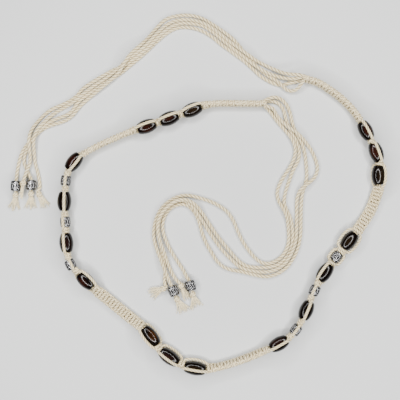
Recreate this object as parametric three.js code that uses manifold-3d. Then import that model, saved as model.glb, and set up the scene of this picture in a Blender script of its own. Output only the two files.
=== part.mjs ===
// A beaded tie belt of knotted cotton cord, lying on a table as one long open loop.
// Six bands of square knots alternate with five runs of beads. In a run two filler cords go
// through the beads, two outer cords go round them, and a small knot sits between two beads.
// Four free cords leave each end of the belt, and end in metal beads, knots and frayed tips.
// Lengths are in millimetres, +Z is up, and the belt lies on z = 0.

import * as THREE from 'three';
import { mergeVertices } from 'three/addons/utils/BufferGeometryUtils.js';
import Module from 'manifold-3d';

const wasm = await Module();
wasm.setup();

// Clearance between neighbouring pieces
const GAP = 0.3;

// Cotton cord: the free cords, the outer cords pulled round the beads, the pair inside the beads
const CORD_D = 3.3;
const OUTER_D = 2.6;
const CORE_D = 4.4;
const CORD_SIDES = 8;
const RUN_SIDES = 5;
const STEP_IN_DIAMETERS = 3;

// Wooden beads, with the three longer ones of the third run
const WOOD_D = 12.8;
const WOOD_LENGTH = 17.2;
const LONG_WOOD_LENGTH = 19.2;
const WOOD_END_D = 8.2;

// Metal beads, on the belt and on the free cords
const METAL_D = 9.6;
const METAL_LENGTH = 9.2;
const METAL_END_D = 7.8;

const BEAD_SIDES = 10;
const BORE_D = CORE_D + 2 * GAP;
const CORD_BORE_D = CORD_D + 2 * GAP;

// Knotted bands: one half knot every HALF_KNOT, with its bump on alternate edges
const BAND_WIDTH = 11;
const BAND_THICKNESS = 6.3;
const HALF_KNOT = 3.1;
const BUMP = 0.9;

// Cord left bare between a band and the first bead, and the length over which a band rises to it
const LEAD = 1.2;
const BAND_RISE = 11;

// Small knots between the beads, and the outer cords' distance from the middle inside a knot
const KNOT_WIDTH = 9.6;
const KNOT_THICKNESS = 6.4;
const OUTER_IN_KNOT = 3.9;

// Way of an outer cord past a bead: extra clearance, share of the rise reached at the bead's end,
// and share of the half length over which it runs level
const OUTER_CLEARANCE = 0.12;
const SHOULDER_RISE = 0.75;
const FLAT_SHARE = 0.44;

// Knots and frayed tips at the ends of the free cords
const END_KNOT_D = 6;
const END_KNOT_LENGTH = 5.4;
const FRAY_LENGTH = 11;
const SIDE_LOCK_SHARE = 0.88;
const FRAY_ROOT_D = 2.8;
const FRAY_ROOT_SPACING = 0.84;
const FRAY_TIP_D = 1.3;
const LOCK_SIDES = 5;

// Free cords: steepest rise over another cord, and how closely their crossings are worked out
const CORD_SLOPE = 0.28;
const SAMPLES_A_STEP = 6;
const STILL = 0.001;

// Half profile of each bead: share of the half length, share of the rise from end to middle
const WOOD_PROFILE = [[1, 0], [0.7, 0.62], [0.32, 0.97]];
const METAL_PROFILE = [[1, 0], [0.72, 1]];

// Small knot between two beads: share of its length, share of its full section
const KNOT_PROFILE = [[0, 0.72], [0.28, 1], [0.72, 1], [1, 0.72]];

// Sections of a band and of a small knot: shares of the half width and the half thickness
const BAND_SECTION = [
  [1, 0.45], [0.5, 1], [-0.5, 1], [-1, 0.45], [-1, -0.45], [-0.5, -1], [0.5, -1], [1, -0.45],
];
const KNOT_SECTION = [[1, 0], [0.5, 1], [-0.5, 1], [-1, 0], [-0.5, -1], [0.5, -1]];

// Fineness of the measured length of a route
const LENGTH_DIVISIONS = 4000;

// Order along the belt. Columns: kind, length or knot length, angle of the outer cord, angle of
// the inner cord. Angles are round the belt's middle line, from straight up towards the outside.
const LAYOUT = [
  ['band', 66.5, 15, 195],
  ['wood', WOOD_LENGTH, 11, 191], ['knot', 3.8],
  ['wood', WOOD_LENGTH, 13, 193], ['knot', 3.4],
  ['wood', WOOD_LENGTH, 50, 220],
  ['band', 46.9, 90, 270],
  ['wood', WOOD_LENGTH, 90, 270], ['knot', 4.7],
  ['metal', METAL_LENGTH, 90, 270], ['knot', 3.8],
  ['wood', WOOD_LENGTH, 138, 333], ['knot', 4.8],
  ['metal', METAL_LENGTH, 160, 351], ['knot', 5.5],
  ['wood', WOOD_LENGTH, 178, 365], ['knot', 6.1],
  ['metal', METAL_LENGTH, 182, 361], ['knot', 6.2],
  ['wood', WOOD_LENGTH, 190, 367],
  ['band', 59.1, 200, 380],
  ['wood', LONG_WOOD_LENGTH, 262, 369], ['knot', 5.6],
  ['wood', LONG_WOOD_LENGTH, 250, 376], ['knot', 5.6],
  ['wood', LONG_WOOD_LENGTH, 228, 404],
  ['band', 56.2, 270, 450],
  ['wood', WOOD_LENGTH, 319, 499], ['knot', 6.2],
  ['metal', METAL_LENGTH, 350, 530], ['knot', 6.2],
  ['wood', WOOD_LENGTH, 374, 554], ['knot', 4.9],
  ['metal', METAL_LENGTH, 378, 558], ['knot', 4.9],
  ['wood', WOOD_LENGTH, 357, 537], ['knot', 4.8],
  ['metal', METAL_LENGTH, 362, 542], ['knot', 4.7],
  ['wood', WOOD_LENGTH, 343, 523],
  ['band', 53.7, 361, 541],
  ['wood', WOOD_LENGTH, 379, 559], ['knot', 3.7],
  ['wood', WOOD_LENGTH, 379, 559], ['knot', 4.4],
  ['wood', WOOD_LENGTH, 384, 564],
  ['band', 57.5, 366, 546],
];

// Route of the belt's middle line on the table, x and y
const ROUTE = [
  [72.5, 131.5], [86, 127.3], [98, 120], [110, 110.5], [120, 99.3], [129, 84], [134, 74.3],
  [138.4, 64.5], [141.3, 54.5], [140.7, 44], [141.3, 34.5], [139.5, 27], [134, 12.5], [125.5, -1],
  [114.6, -15], [107.5, -24], [98.8, -35], [92.7, -43.3], [86.5, -53], [80.3, -66], [75.7, -77.3],
  [71, -88], [66.5, -94.8], [61.5, -101], [51.3, -107.4], [41.5, -112.3], [25, -119.5],
  [9, -125.2], [-6, -129], [-23, -130], [-34.7, -126.5], [-46.6, -120.3], [-56, -112],
  [-63.7, -101.8], [-71, -93.5], [-80, -86.5], [-90, -78.5], [-100, -70.3], [-112, -60.5],
  [-121.5, -51.8], [-130.5, -43], [-135.5, -37.5], [-138.3, -30], [-139.7, -18.2], [-140.8, 0.6],
  [-141.7, 19.3], [-141, 31], [-139.3, 44.7], [-133.9, 54.6], [-127, 61.5], [-112, 70.2],
  [-96, 77.5], [-80, 84], [-69.3, 87.2], [-59, 91], [-49, 94.3], [-38.3, 98.6], [-28, 102.2],
  [-19, 106], [-5, 108.4], [15, 108.5], [35, 108.4], [41, 109.2],
];

// Free cords. exit is the place on the belt's end face, outwards and up from its middle, and
// route is x, y and layer: where two cords meet, the higher layer lies over the lower one.
const FREE_CORDS = [
  { name: 'a1', end: 'first', exit: [-1.9, 1.9], route: [
    [67.5, 121.4, 1], [62.6, 119.9, 1], [57.6, 121.5, 1], [54, 125.1, 1], [49.1, 129.2, 1],
    [43.2, 132.9, 1], [36.9, 137.4, 0], [30.6, 143.3, 0], [24.3, 150.3, 0], [17.1, 158.9, 0],
    [9.9, 167, 0], [1.8, 173.3, 0], [-8.1, 180, 0], [-18.9, 186, 0], [-29.7, 188.5, 0],
    [-40.5, 187.9, 0], [-50.8, 184.6, 3], [-59.8, 176, 3], [-67.2, 167.2, 3], [-76.5, 158.4, 3],
    [-82.8, 152.1, 3], [-87.8, 144.9, 3], [-92.7, 136.8, 3], [-99.9, 130, 3], [-108, 123.4, 2],
    [-117, 116, 1], [-125.1, 109.2, 1], [-130.5, 103.4, 1], [-135.6, 97.2, 1], [-142.2, 93, 0],
    [-151.2, 90, 0], [-160.2, 86.4, 0], [-167.8, 80.2, 0], [-174.4, 73.4, 0], [-179.8, 65.8, 0],
    [-182.8, 57.6, 0], [-184.6, 48.6, 0], [-185.4, 40.5, 0]] },
  { name: 'a2', end: 'first', exit: [-1.9, -1.9], route: [
    [66.6, 128.4, 0], [60.3, 127.1, 0], [54, 125.3, 0], [47.7, 126.5, 0], [41.4, 129.4, 0],
    [35.1, 133.3, 0], [28.8, 139.1, 0], [22.5, 145, 0], [16.2, 149.9, 0], [8.1, 155.8, 0],
    [-0.9, 162.3, 0], [-9.9, 169.6, 0], [-19.8, 175, 0], [-29.7, 177.4, 0], [-39.6, 177.2, 0],
    [-48.6, 172.9, 0], [-57.6, 165.7, 0], [-66.6, 157.1, 0], [-75.6, 149, 0], [-83.7, 142.3, 0],
    [-90.9, 136.4, 0], [-99, 131.2, 0], [-107.1, 126.3, 0], [-114.3, 121.4, 0],
    [-121.5, 116.6, 0], [-127.8, 111.9, 0], [-132.3, 106.5, 0], [-135.9, 101.3, 0],
    [-142.2, 97.5, 0], [-150.3, 94.6, 0], [-157.5, 90.5, 0], [-163.8, 84.8, 0],
    [-168.6, 79.4, 0], [-172.4, 74.2, 0], [-175.5, 68, 0], [-178.2, 61.2, 0],
    [-178.6, 54.9, 0], [-175.7, 48.2, 0], [-173, 42.3, 0]] },
  { name: 'a3', end: 'first', exit: [1.9, -1.9], route: [
    [65.7, 130.8, 2], [58.5, 131.1, 2], [51.3, 132.7, 2], [43.2, 135.3, 2], [36.9, 138.4, 2],
    [30.6, 142.3, 2], [24.3, 147.1, 2], [17.1, 152.9, 2], [9, 159.2, 1], [0.9, 165.7, 1],
    [-7.2, 172.5, 1], [-17.1, 178.8, 1], [-27.9, 181, 1], [-38.7, 180.9, 1], [-47.7, 177, 1],
    [-56.7, 169.3, 1], [-64.8, 160.8, 1], [-73.8, 153.1, 1], [-81.9, 147, 1], [-90, 142, 1],
    [-98.1, 139, 1], [-105.3, 135, 1], [-112.5, 130.9, 0], [-119.7, 126.3, 0],
    [-126, 121.7, 0], [-131.4, 115.4, 0], [-138.6, 110.4, 1], [-146.7, 106.6, 1],
    [-154.8, 102.8, 1], [-161.3, 97.6, 1], [-167, 91.4, 1], [-171.6, 84.6, 2],
    [-173.6, 77.4, 2], [-173.4, 69.3, 2], [-172.9, 61.2, 1], [-173.5, 54, 1], [-176, 47.3, 1]] },
  { name: 'a4', end: 'first', exit: [1.9, 1.9], route: [
    [66.6, 134.2, 3], [60.3, 134.9, 3], [54, 136.4, 3], [46.8, 139.6, 3], [38.7, 143.4, 3],
    [30.6, 147.7, 3], [23.4, 152.6, 3], [16.2, 157.8, 2], [8.1, 163.9, 2], [-0.9, 170.9, 2],
    [-9.9, 177.4, 2], [-19.8, 182.3, 2], [-29.7, 184.5, 2], [-39.6, 184.1, 2], [-48.6, 180.6, 2],
    [-56.7, 173.8, 2], [-64.8, 164.9, 2], [-72.9, 157.1, 2], [-80.1, 151.8, 2],
    [-85.8, 147.6, 2], [-91.8, 141.7, 2], [-99, 135.7, 1], [-106.2, 130.6, 1],
    [-113.4, 126.2, 1], [-120.6, 121, 1], [-127.4, 115.4, 1], [-134.1, 110, 2],
    [-141.3, 105.6, 2], [-148.5, 101.6, 2], [-154.8, 97, 1], [-160.2, 91.6, 1],
    [-165.6, 85.5, 1], [-168.8, 78.8, 1], [-169.6, 71.1, 1], [-169.2, 63, 0],
    [-168.6, 54.9, 0], [-166.4, 46.5, 0], [-164.8, 38.6, 0], [-164.5, 32.8, 0]] },
  { name: 'b1', end: 'last', exit: [-2, -1.9], route: [
    [43, 101.8, 1], [50.4, 92.1, 1], [61, 79.7, 1], [64.9, 73.2, 1], [66.3, 66.6, 1],
    [64.9, 58.5, 1], [60.9, 50.4, 1], [56, 42.8, 0], [51.8, 35.1, 0], [49.9, 27.5, 0],
    [51.3, 20.7, 1], [55.2, 14, 1], [58.6, 6.3, 1], [59.9, -2.7, 1], [60.4, -12.6, 1],
    [59, -21, 1], [55.2, -28, 1], [49.6, -32.9, 1], [42.8, -35.6, 1], [35.6, -34.8, 1],
    [29.3, -30, 0], [23.4, -22.8, 0], [18.5, -15.3, 0], [14.4, -6.8, 0], [10.6, 2.3, 0],
    [5, 10.6, 0], [-2.7, 16.4, 0], [-11.7, 20.7, 0], [-29.7, 25.6, 0], [-38.7, 24.9, 0],
    [-47.9, 20.4, 0], [-54.9, 13.5, 0], [-59.3, 5, 0], [-61.4, -4.5, 0], [-61.2, -14, 1],
    [-58.4, -23.9, 1], [-54.5, -33.8, 1], [-50.6, -44.1, 1], [-47, -52.7, 1]] },
  { name: 'b2', end: 'last', exit: [2, -1.9], route: [
    [46, 110.6, 0], [51, 108.8, 0], [54.9, 104.4, 0], [58.7, 91.6, 0], [61.4, 85.4, 0],
    [68.4, 72, 0], [69.9, 65, 0], [68.9, 57.4, 0], [65, 49.8, 0], [62, 42.4, 0], [57, 26.6, 0],
    [56.4, 18.6, 0], [62.2, 4.4, 0], [63.6, -4, 0], [64, -13, 0], [62.5, -22, 0], [58.4, -30, 0],
    [52.2, -35.8, 0], [44.6, -38.7, 0], [28.8, -39.2, 0], [20.7, -37.4, 0], [14, -32.4, 0],
    [7.7, -25.2, 0], [0.9, -17.1, 0], [-5.2, -9.3, 0], [-11.1, -0.5, 2], [-17, 8.6, 2],
    [-23.4, 16.6, 2], [-31.1, 21.5, 2], [-39.6, 21.4, 2], [-47.5, 16.9, 2], [-53.8, 10.2, 2],
    [-57.3, 2.3, 2], [-57.8, -6.3, 2], [-55.8, -15.3, 2], [-52.7, -24.3, 2], [-49.5, -33.8, 2],
    [-45.6, -43.2, 2], [-41, -50.8, 2]] },
  { name: 'b3', end: 'last', exit: [2, 1.9], route: [
    [46, 114.2, 1], [52.6, 113, 1], [58.1, 108, 1], [61.2, 101.4, 1], [64.9, 87, 1],
    [72.2, 72.8, 1], [74.5, 65.7, 0], [75.6, 57.6, 0], [76.5, 41.4, 0], [72.9, 27.9, 0],
    [71.8, 19.8, 0], [71.3, 1.8, 0], [71.2, -7.2, 0], [70, -16.2, 0], [67.5, -24.8, 0],
    [63, -33.3, 0], [57, -40.5, 0], [49.5, -45.3, 0], [41.4, -47.6, 0], [33.3, -46.9, 0],
    [17.1, -43, 0], [9, -41.6, 0], [1.6, -38.9, 0], [-4.3, -33.8, 0], [-9.2, -26.1, 0],
    [-13.7, -18.5, 0], [-17, -10.8, 0], [-21.9, 5.1, 0], [-26.5, 12.7, 0], [-33.2, 17.4, 0],
    [-40.3, 17.2, 0], [-46.8, 13.6, 0], [-51.4, 7.6, 0], [-53.4, 0.3, 0], [-53, -7, 0],
    [-48.3, -20, 0], [-39.7, -34.5, 0], [-35.4, -41, 0], [-32, -47.5, 0]] },
  { name: 'b4', end: 'last', exit: [-2, 1.9], route: [
    [46, 103.8, 2], [49.4, 98, 2], [57.8, 89, 2], [67.6, 82, 2], [72.4, 77.4, 2], [77, 72, 1],
    [81, 66, 0], [86, 53, 0], [85.7, 46.5, 0], [82.8, 41, 1], [73.3, 33, 1], [69.5, 28.2, 1],
    [67.8, 22, 0], [67.6, 6, 0], [67, -12, 0], [65.3, -20, 0], [61.6, -28.4, 1], [56.5, -36, 1],
    [49.5, -40.8, 1], [41.5, -43.2, 1], [33, -43.2, 1], [17, -39.3, 1], [11.5, -35, 1],
    [6.2, -29.8, 0], [1.2, -24.6, 0], [-8, -12.4, 0], [-12.6, -5.4, 0], [-17.4, 2.4, 1],
    [-27.8, 16.8, 1], [-34, 20.9, 1], [-40.6, 20.7, 1], [-47.2, 16.9, 1], [-53, 10.6, 1],
    [-56.6, 3, 1], [-57.4, -5, 1], [-56.6, -13, 0], [-53.3, -29, 0], [-51.4, -45, 0],
    [-52, -52, 0]] },
];

// Beads, knots and frayed tips at the ends of the free cords: middle of the bead and of the knot
// as x and y, heading of the tip, and the angle by which its locks spread. A knot that lies on
// its neighbours is lifted, and its tip droops.
const CORD_ENDS = {
  a1: { bead: [-185.7, 34.2], knot: [-186.2, 26.2], heading: 262, spread: 20 },
  a2: { bead: [-171.9, 35.1], knot: [-172.3, 27.1], heading: 268, spread: 20 },
  a3: { knot: [-178.8, 36.6], heading: 262, spread: 5, lift: 5.6, droop: 2.2 },
  a4: { knot: [-165, 26.7], heading: 298, spread: 18 },
  b1: { bead: [-43.7, -60.3], knot: [-40.6, -67.9], heading: 297, spread: 22 },
  b2: { knot: [-36.8, -55.8], heading: 300, spread: 14 },
  b3: { bead: [-28.4, -55.6], knot: [-26.2, -63.5], heading: 288, spread: 24 },
  b4: { knot: [-53, -58.4], heading: 207, spread: 22 },
};

const COTTON = { color: 0xe9e2d0, roughness: 0.95, metalness: 0 };
const WOOD = { color: 0x3a1a0c, roughness: 0.3, metalness: 0 };
const METAL = { color: 0x9a9a9c, roughness: 0.35, metalness: 1 };

const group = new THREE.Group();
const UP = new THREE.Vector3(0, 0, 1);
const radians = THREE.MathUtils.degToRad;

function addMesh(name, geometry, look) {
  const mesh = new THREE.Mesh(geometry, new THREE.MeshStandardMaterial(look));
  mesh.name = name;
  group.add(mesh);
  return mesh;
}

// Closed body through rings of as many points each, with its two ends filled
function loft(rings) {
  const sides = rings[0].length;
  const positions = rings.flat().flatMap((p) => [p.x, p.y, p.z]);
  const index = [];
  for (let r = 0; r + 1 < rings.length; r += 1) {
    for (let k = 0; k < sides; k += 1) {
      const a = r * sides + k;
      const b = r * sides + ((k + 1) % sides);
      index.push(a, b, b + sides, a, b + sides, a + sides);
    }
  }
  const last = (rings.length - 1) * sides;
  for (let k = 1; k + 1 < sides; k += 1) {
    index.push(0, k + 1, k);
    index.push(last, last + k, last + k + 1);
  }
  const geometry = new THREE.BufferGeometry();
  geometry.setAttribute('position', new THREE.Float32BufferAttribute(positions, 3));
  geometry.setIndex(index);
  return geometry;
}

// Manifold solid of a closed geometry, and back again
function toSolid(geometry) {
  const bare = geometry.clone();
  bare.deleteAttribute('normal');
  bare.deleteAttribute('uv');
  const merged = mergeVertices(bare, 1e-4);
  const vertProperties = new Float32Array(merged.attributes.position.array);
  const triVerts = new Uint32Array(merged.index.array);
  return new wasm.Manifold(new wasm.Mesh({ numProp: 3, vertProperties, triVerts }));
}

function toGeometry(solid) {
  const mesh = solid.getMesh();
  const geometry = new THREE.BufferGeometry();
  const positions = [];
  for (let v = 0; v < mesh.numVert; v += 1) {
    const at = v * mesh.numProp;
    positions.push(...mesh.vertProperties.slice(at, at + 3));
  }
  geometry.setAttribute('position', new THREE.Float32BufferAttribute(positions, 3));
  geometry.setIndex([...mesh.triVerts]);
  return geometry;
}

const join = (solids) => solids.reduce((whole, solid) => whole.add(solid));

// Stations of the pieces along the belt
function placePieces() {
  const pieces = [];
  let at = 0;
  LAYOUT.forEach(([kind, length, outer, inner], n) => {
    const next = LAYOUT[n + 1];
    const lead = next && (kind === 'band') !== (next[0] === 'band') ? LEAD : GAP;
    const [start, middle, end] = [at, at + length / 2, at + length];
    pieces.push({ kind, length, outer, inner, start, middle, end });
    at += length + lead;
  });
  return pieces;
}

const pieces = placePieces();
const isBead = (piece) => piece.kind === 'wood' || piece.kind === 'metal';

const beadRadius = (piece) => (piece.kind === 'wood' ? WOOD_D : METAL_D) / 2;
const beadEndRadius = (piece) => (piece.kind === 'wood' ? WOOD_END_D : METAL_END_D) / 2;
const drop = (angle) => -Math.cos(radians(angle));

// Height of a piece's middle line when its lowest point touches the table
function restHeight(piece) {
  if (isBead(piece)) {
    const offset = beadRadius(piece) + GAP + OUTER_CLEARANCE + OUTER_D / 2;
    const below = Math.max(drop(piece.outer), drop(piece.inner)) * offset + OUTER_D / 2;
    return Math.max(beadRadius(piece), below);
  }
  const edge = Math.abs(Math.cos(radians(piece.outer))) * BAND_WIDTH / 2;
  const face = Math.abs(Math.sin(radians(piece.outer))) * BAND_THICKNESS / 2;
  return edge + face;
}

// Heights and cord angles at stations along the belt: constant along each bead and each band
function makeKeys() {
  const keys = [];
  pieces.filter((piece) => piece.kind !== 'knot').forEach((piece) => {
    const inset = piece.kind === 'band' ? BAND_RISE : 0;
    const z = restHeight(piece);
    const { outer, inner } = piece;
    keys.push({ s: piece.start + inset, z, outer, inner });
    keys.push({ s: piece.end - inset, z, outer, inner });
  });
  return keys;
}

const keys = makeKeys();
const onTable = (rows) => rows.map(([x, y]) => new THREE.Vector3(x, y, 0));

function smoothCurve(points) {
  const curve = new THREE.CatmullRomCurve3(points, false, 'centripetal');
  curve.arcLengthDivisions = LENGTH_DIVISIONS;
  return curve;
}

const route = smoothCurve(onTable(ROUTE));
const routeLength = route.getLength();

// Place on the belt at a station: middle point, directions along, outwards and up, cord angles
function beltAt(s) {
  const along = Math.min(Math.max(s / routeLength, 0), 1);
  const point = route.getPointAt(along);
  const tangent = route.getTangentAt(along).setZ(0).normalize();
  point.addScaledVector(tangent, s - along * routeLength);
  const after = keys.findIndex((key) => key.s > s);
  const b = keys[after < 0 ? keys.length - 1 : after];
  const a = keys[after < 0 ? keys.length - 1 : Math.max(after - 1, 0)];
  const share = b.s > a.s ? THREE.MathUtils.smoothstep(s, a.s, b.s) : 0;
  const mix = (name) => a[name] + (b[name] - a[name]) * share;
  point.z = mix('z');
  const out = new THREE.Vector3().crossVectors(UP, tangent);
  return { point, tangent, out, outer: mix('outer'), inner: mix('inner') };
}

// Direction from the belt's middle line at an angle from straight up towards the outside
function direction(place, angle) {
  const up = UP.clone().multiplyScalar(Math.cos(radians(angle)));
  return up.addScaledVector(place.out, Math.sin(radians(angle)));
}

// Plane of a band or knot: midway between the outer cord and the one opposite the inner cord
const rollAt = (place) => (place.outer + place.inner - 180) / 2;

// Ring of a flat section round the belt's middle line at a station
function flatRing(s, section, outerHalf, innerHalf, halfThickness) {
  const place = beltAt(s);
  const roll = rollAt(place);
  const wide = direction(place, roll);
  const thick = direction(place, roll - 90);
  return section.map(([w, t]) => place.point.clone()
    .addScaledVector(wide, w * (w > 0 ? outerHalf : innerHalf))
    .addScaledVector(thick, t * halfThickness));
}

function makeBand(piece) {
  const count = Math.round(piece.length / HALF_KNOT);
  const rings = [];
  for (let n = 0; n <= count; n += 1) {
    const bump = n % 2 === 0 ? [0, BUMP] : [BUMP, 0];
    const [outerHalf, innerHalf] = bump.map((cut) => BAND_WIDTH / 2 - cut);
    const s = piece.start + piece.length * n / count;
    rings.push(flatRing(s, BAND_SECTION, outerHalf, innerHalf, BAND_THICKNESS / 2));
  }
  return loft(rings);
}

function makeKnot(piece) {
  return loft(KNOT_PROFILE.map(([along, size]) => {
    const s = piece.start + piece.length * along;
    const half = KNOT_WIDTH / 2 * size;
    return flatRing(s, KNOT_SECTION, half, half, KNOT_THICKNESS / 2 * size);
  }));
}

// Bead turned about X, with its bore, from a profile of shares
function makeBead(length, diameter, endDiameter, bore, profile, extra = 0) {
  const half = length / 2 + extra;
  const inside = bore / 2 - extra;
  const outside = profile.map(([along, rise]) => (
    new THREE.Vector2(extra + (endDiameter + (diameter - endDiameter) * rise) / 2, along * half)));
  const points = outside.map(({ x, y }) => new THREE.Vector2(x, -y));
  points.push(...outside.reverse(), new THREE.Vector2(inside, half), new THREE.Vector2(inside, -half));
  points.push(points[0]);
  return new THREE.LatheGeometry(points, BEAD_SIDES).rotateZ(-Math.PI / 2);
}

function beadShape(piece, extra = 0) {
  const profile = piece.kind === 'wood' ? WOOD_PROFILE : METAL_PROFILE;
  const [diameter, endDiameter] = [2 * beadRadius(piece), 2 * beadEndRadius(piece)];
  return makeBead(piece.length, diameter, endDiameter, BORE_D, profile, extra);
}

// Turns and moves a shape made along X to a point and a heading
function placeAlong(point, way) {
  const side = new THREE.Vector3().crossVectors(UP, way);
  return new THREE.Matrix4().makeBasis(way, side, UP).setPosition(point);
}

const lay = (shape, point, way) => shape.applyMatrix4(placeAlong(point, way));

// Tube through points with a ring at each, square to the way through it, or to a given end way
function pulledCord(points, diameter, firstWay, lastWay) {
  const rings = points.map((point, n) => {
    const before = points[Math.max(n - 1, 0)];
    const after = points[Math.min(n + 1, points.length - 1)];
    const given = [n === 0 && firstWay, n === points.length - 1 && lastWay].find(Boolean);
    const way = given || after.clone().sub(before).normalize();
    const side = new THREE.Vector3().crossVectors(UP, way).normalize();
    const top = new THREE.Vector3().crossVectors(way, side);
    return Array.from({ length: RUN_SIDES }, (_, k) => {
      const turn = 2 * Math.PI * k / RUN_SIDES;
      const ring = side.clone().multiplyScalar(Math.cos(turn)).addScaledVector(top, Math.sin(turn));
      return point.clone().addScaledVector(ring, diameter / 2);
    });
  });
  return loft(rings);
}

// Point beside a straight bead: a share of its half length from the middle, offset at an angle
function besideBead(piece, share, side, offset) {
  const place = beltAt(piece.middle);
  const along = place.point.clone().addScaledVector(place.tangent, share * piece.length / 2);
  return side ? along.addScaledVector(direction(place, place[side]), offset) : along;
}

// One outer cord of a run: over the beads' sides and in through the knots
function outerCordPoints(run, from, to, side) {
  const inKnot = (s) => {
    const place = beltAt(s);
    return place.point.addScaledVector(direction(place, place[side]), OUTER_IN_KNOT);
  };
  const clear = GAP + OUTER_CLEARANCE + OUTER_D / 2;
  const points = run.flatMap((piece) => {
    if (piece.kind === 'knot') return [inKnot(piece.middle)];
    const shoulder = beadEndRadius(piece) + clear;
    const full = beadRadius(piece) + clear;
    const near = shoulder + (full - shoulder) * SHOULDER_RISE;
    return [[-1, near], [-FLAT_SHARE, full], [FLAT_SHARE, full], [1, near]]
      .map(([share, offset]) => besideBead(piece, share, side, offset));
  });
  return [inKnot(from), ...points, inKnot(to)];
}

// The pair of filler cords of a run, straight through each bead
function corePoints(run, from, to) {
  const inBeads = run.filter(isBead).flatMap((piece) => [-1, 1].map((share) => besideBead(piece, share)));
  return [beltAt(from).point, ...inBeads, beltAt(to).point];
}

function makeRun(run, from, to) {
  const ways = [from, to].map((s) => beltAt(s).tangent);
  const solids = [
    pulledCord(outerCordPoints(run, from, to, 'outer'), OUTER_D, ...ways),
    pulledCord(outerCordPoints(run, from, to, 'inner'), OUTER_D, ...ways),
    pulledCord(corePoints(run, from, to), CORE_D, ...ways),
    ...run.filter((piece) => piece.kind === 'knot').map(makeKnot),
  ].map(toSolid);
  const spaces = run.filter(isBead).map((piece) => {
    const place = beltAt(piece.middle);
    return toSolid(lay(beadShape(piece, OUTER_CLEARANCE), place.point, place.tangent));
  });
  return toGeometry(join(solids).subtract(join(spaces)));
}

// Bands, beads and runs in their order, numbered from the belt's first end
const counts = { band: 0, wood: 0, metal: 0, run: 0 };
let run = [];
pieces.forEach((piece, n) => {
  if (piece.kind === 'band') {
    counts.band += 1;
    addMesh(`knotted_band_${counts.band}`, makeBand(piece), COTTON);
    return;
  }
  run.push(piece);
  if (isBead(piece)) {
    counts[piece.kind] += 1;
    const place = beltAt(piece.middle);
    const look = piece.kind === 'wood' ? WOOD : METAL;
    const bead = lay(beadShape(piece), place.point, place.tangent);
    addMesh(`${piece.kind}_bead_${counts[piece.kind]}`, bead, look);
  }
  if (pieces[n + 1].kind === 'band') {
    counts.run += 1;
    const from = run[0].start - LEAD + GAP;
    const to = piece.end + LEAD - GAP;
    addMesh(`beaded_run_cords_${counts.run}`, makeRun(run, from, to), COTTON);
    run = [];
  }
});

// Path of straight steps, for a cord whose heights are worked out step by step
class Steps extends THREE.Curve {
  constructor(points, lastWay) {
    super();
    this.points = points;
    this.lastWay = lastWay;
  }

  getPoint(t) {
    const at = t * (this.points.length - 1);
    const n = Math.min(Math.floor(at), this.points.length - 2);
    return this.points[n].clone().lerp(this.points[n + 1], at - n);
  }

  getPointAt(u) {
    return this.getPoint(u);
  }

  getTangentAt(u) {
    if (u >= 1) return this.lastWay.clone();
    const half = 0.5 / (this.points.length - 1);
    return this.getPoint(Math.min(u + half, 1)).sub(this.getPoint(Math.max(u - half, 0))).normalize();
  }
}

// End face of the belt that a free cord leaves, with the way out of it
function endFace(cord) {
  const first = cord.end === 'first';
  const place = beltAt(first ? pieces[0].start : pieces[pieces.length - 1].end);
  return { ...place, way: place.tangent.clone().multiplyScalar(first ? -1 : 1) };
}

// Where a free cord starts: a little inside the end face, to be trimmed a gap away from it
function cordExit(cord) {
  const face = endFace(cord);
  const [outwards, upwards] = cord.exit;
  const start = face.point.addScaledVector(face.way, -CORD_D / 2);
  return start.addScaledVector(face.out, outwards).addScaledVector(UP, upwards);
}

// Trims a cord square to the end face that it leaves
function trimAtFace(geometry, cord) {
  const face = endFace(cord);
  const size = 2 * BAND_WIDTH;
  const block = new THREE.BoxGeometry(size, size, size).translate(GAP - size / 2, 0, 0);
  return toGeometry(toSolid(geometry).subtract(toSolid(lay(block, face.point, face.way))));
}

// Where a free cord stops, and the way that it points there: a gap before its bead or its knot
function cordEnd(cord) {
  const { bead, knot, heading, lift = 0 } = CORD_ENDS[cord.name];
  const [x, y] = bead ?? knot;
  const turn = bead ? Math.atan2(knot[1] - bead[1], knot[0] - bead[0]) : radians(heading);
  const way = new THREE.Vector3(Math.cos(turn), Math.sin(turn), 0);
  const back = (bead ? METAL_LENGTH : END_KNOT_LENGTH) / 2 + GAP;
  const z = bead ? METAL_D / 2 : END_KNOT_D / 2 + lift;
  return { stop: new THREE.Vector3(x, y, z).addScaledVector(way, -back), way };
}

// Steps of each free cord along its route, still flat, with the heights that hold its two ends
function layCord(cord) {
  const exit = cordExit(cord);
  const { stop, way } = cordEnd(cord);
  const flat = [exit.clone().setZ(0), ...onTable(cord.route), stop.clone().setZ(0)];
  const curve = smoothCurve(flat);
  const count = Math.round(curve.getLength() / (STEP_IN_DIAMETERS * CORD_D));
  const points = curve.getSpacedPoints(count);
  const layerAt = (step) => {
    const row = Math.round(curve.getUtoTmapping(step / count) * (flat.length - 1)) - 1;
    return cord.route[Math.min(Math.max(row, 0), cord.route.length - 1)][2];
  };
  points.forEach((point) => point.setZ(CORD_D / 2));
  points[0].z = exit.z;
  points[count].z = stop.z;
  return { cord, points, layerAt, way };
}

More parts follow.
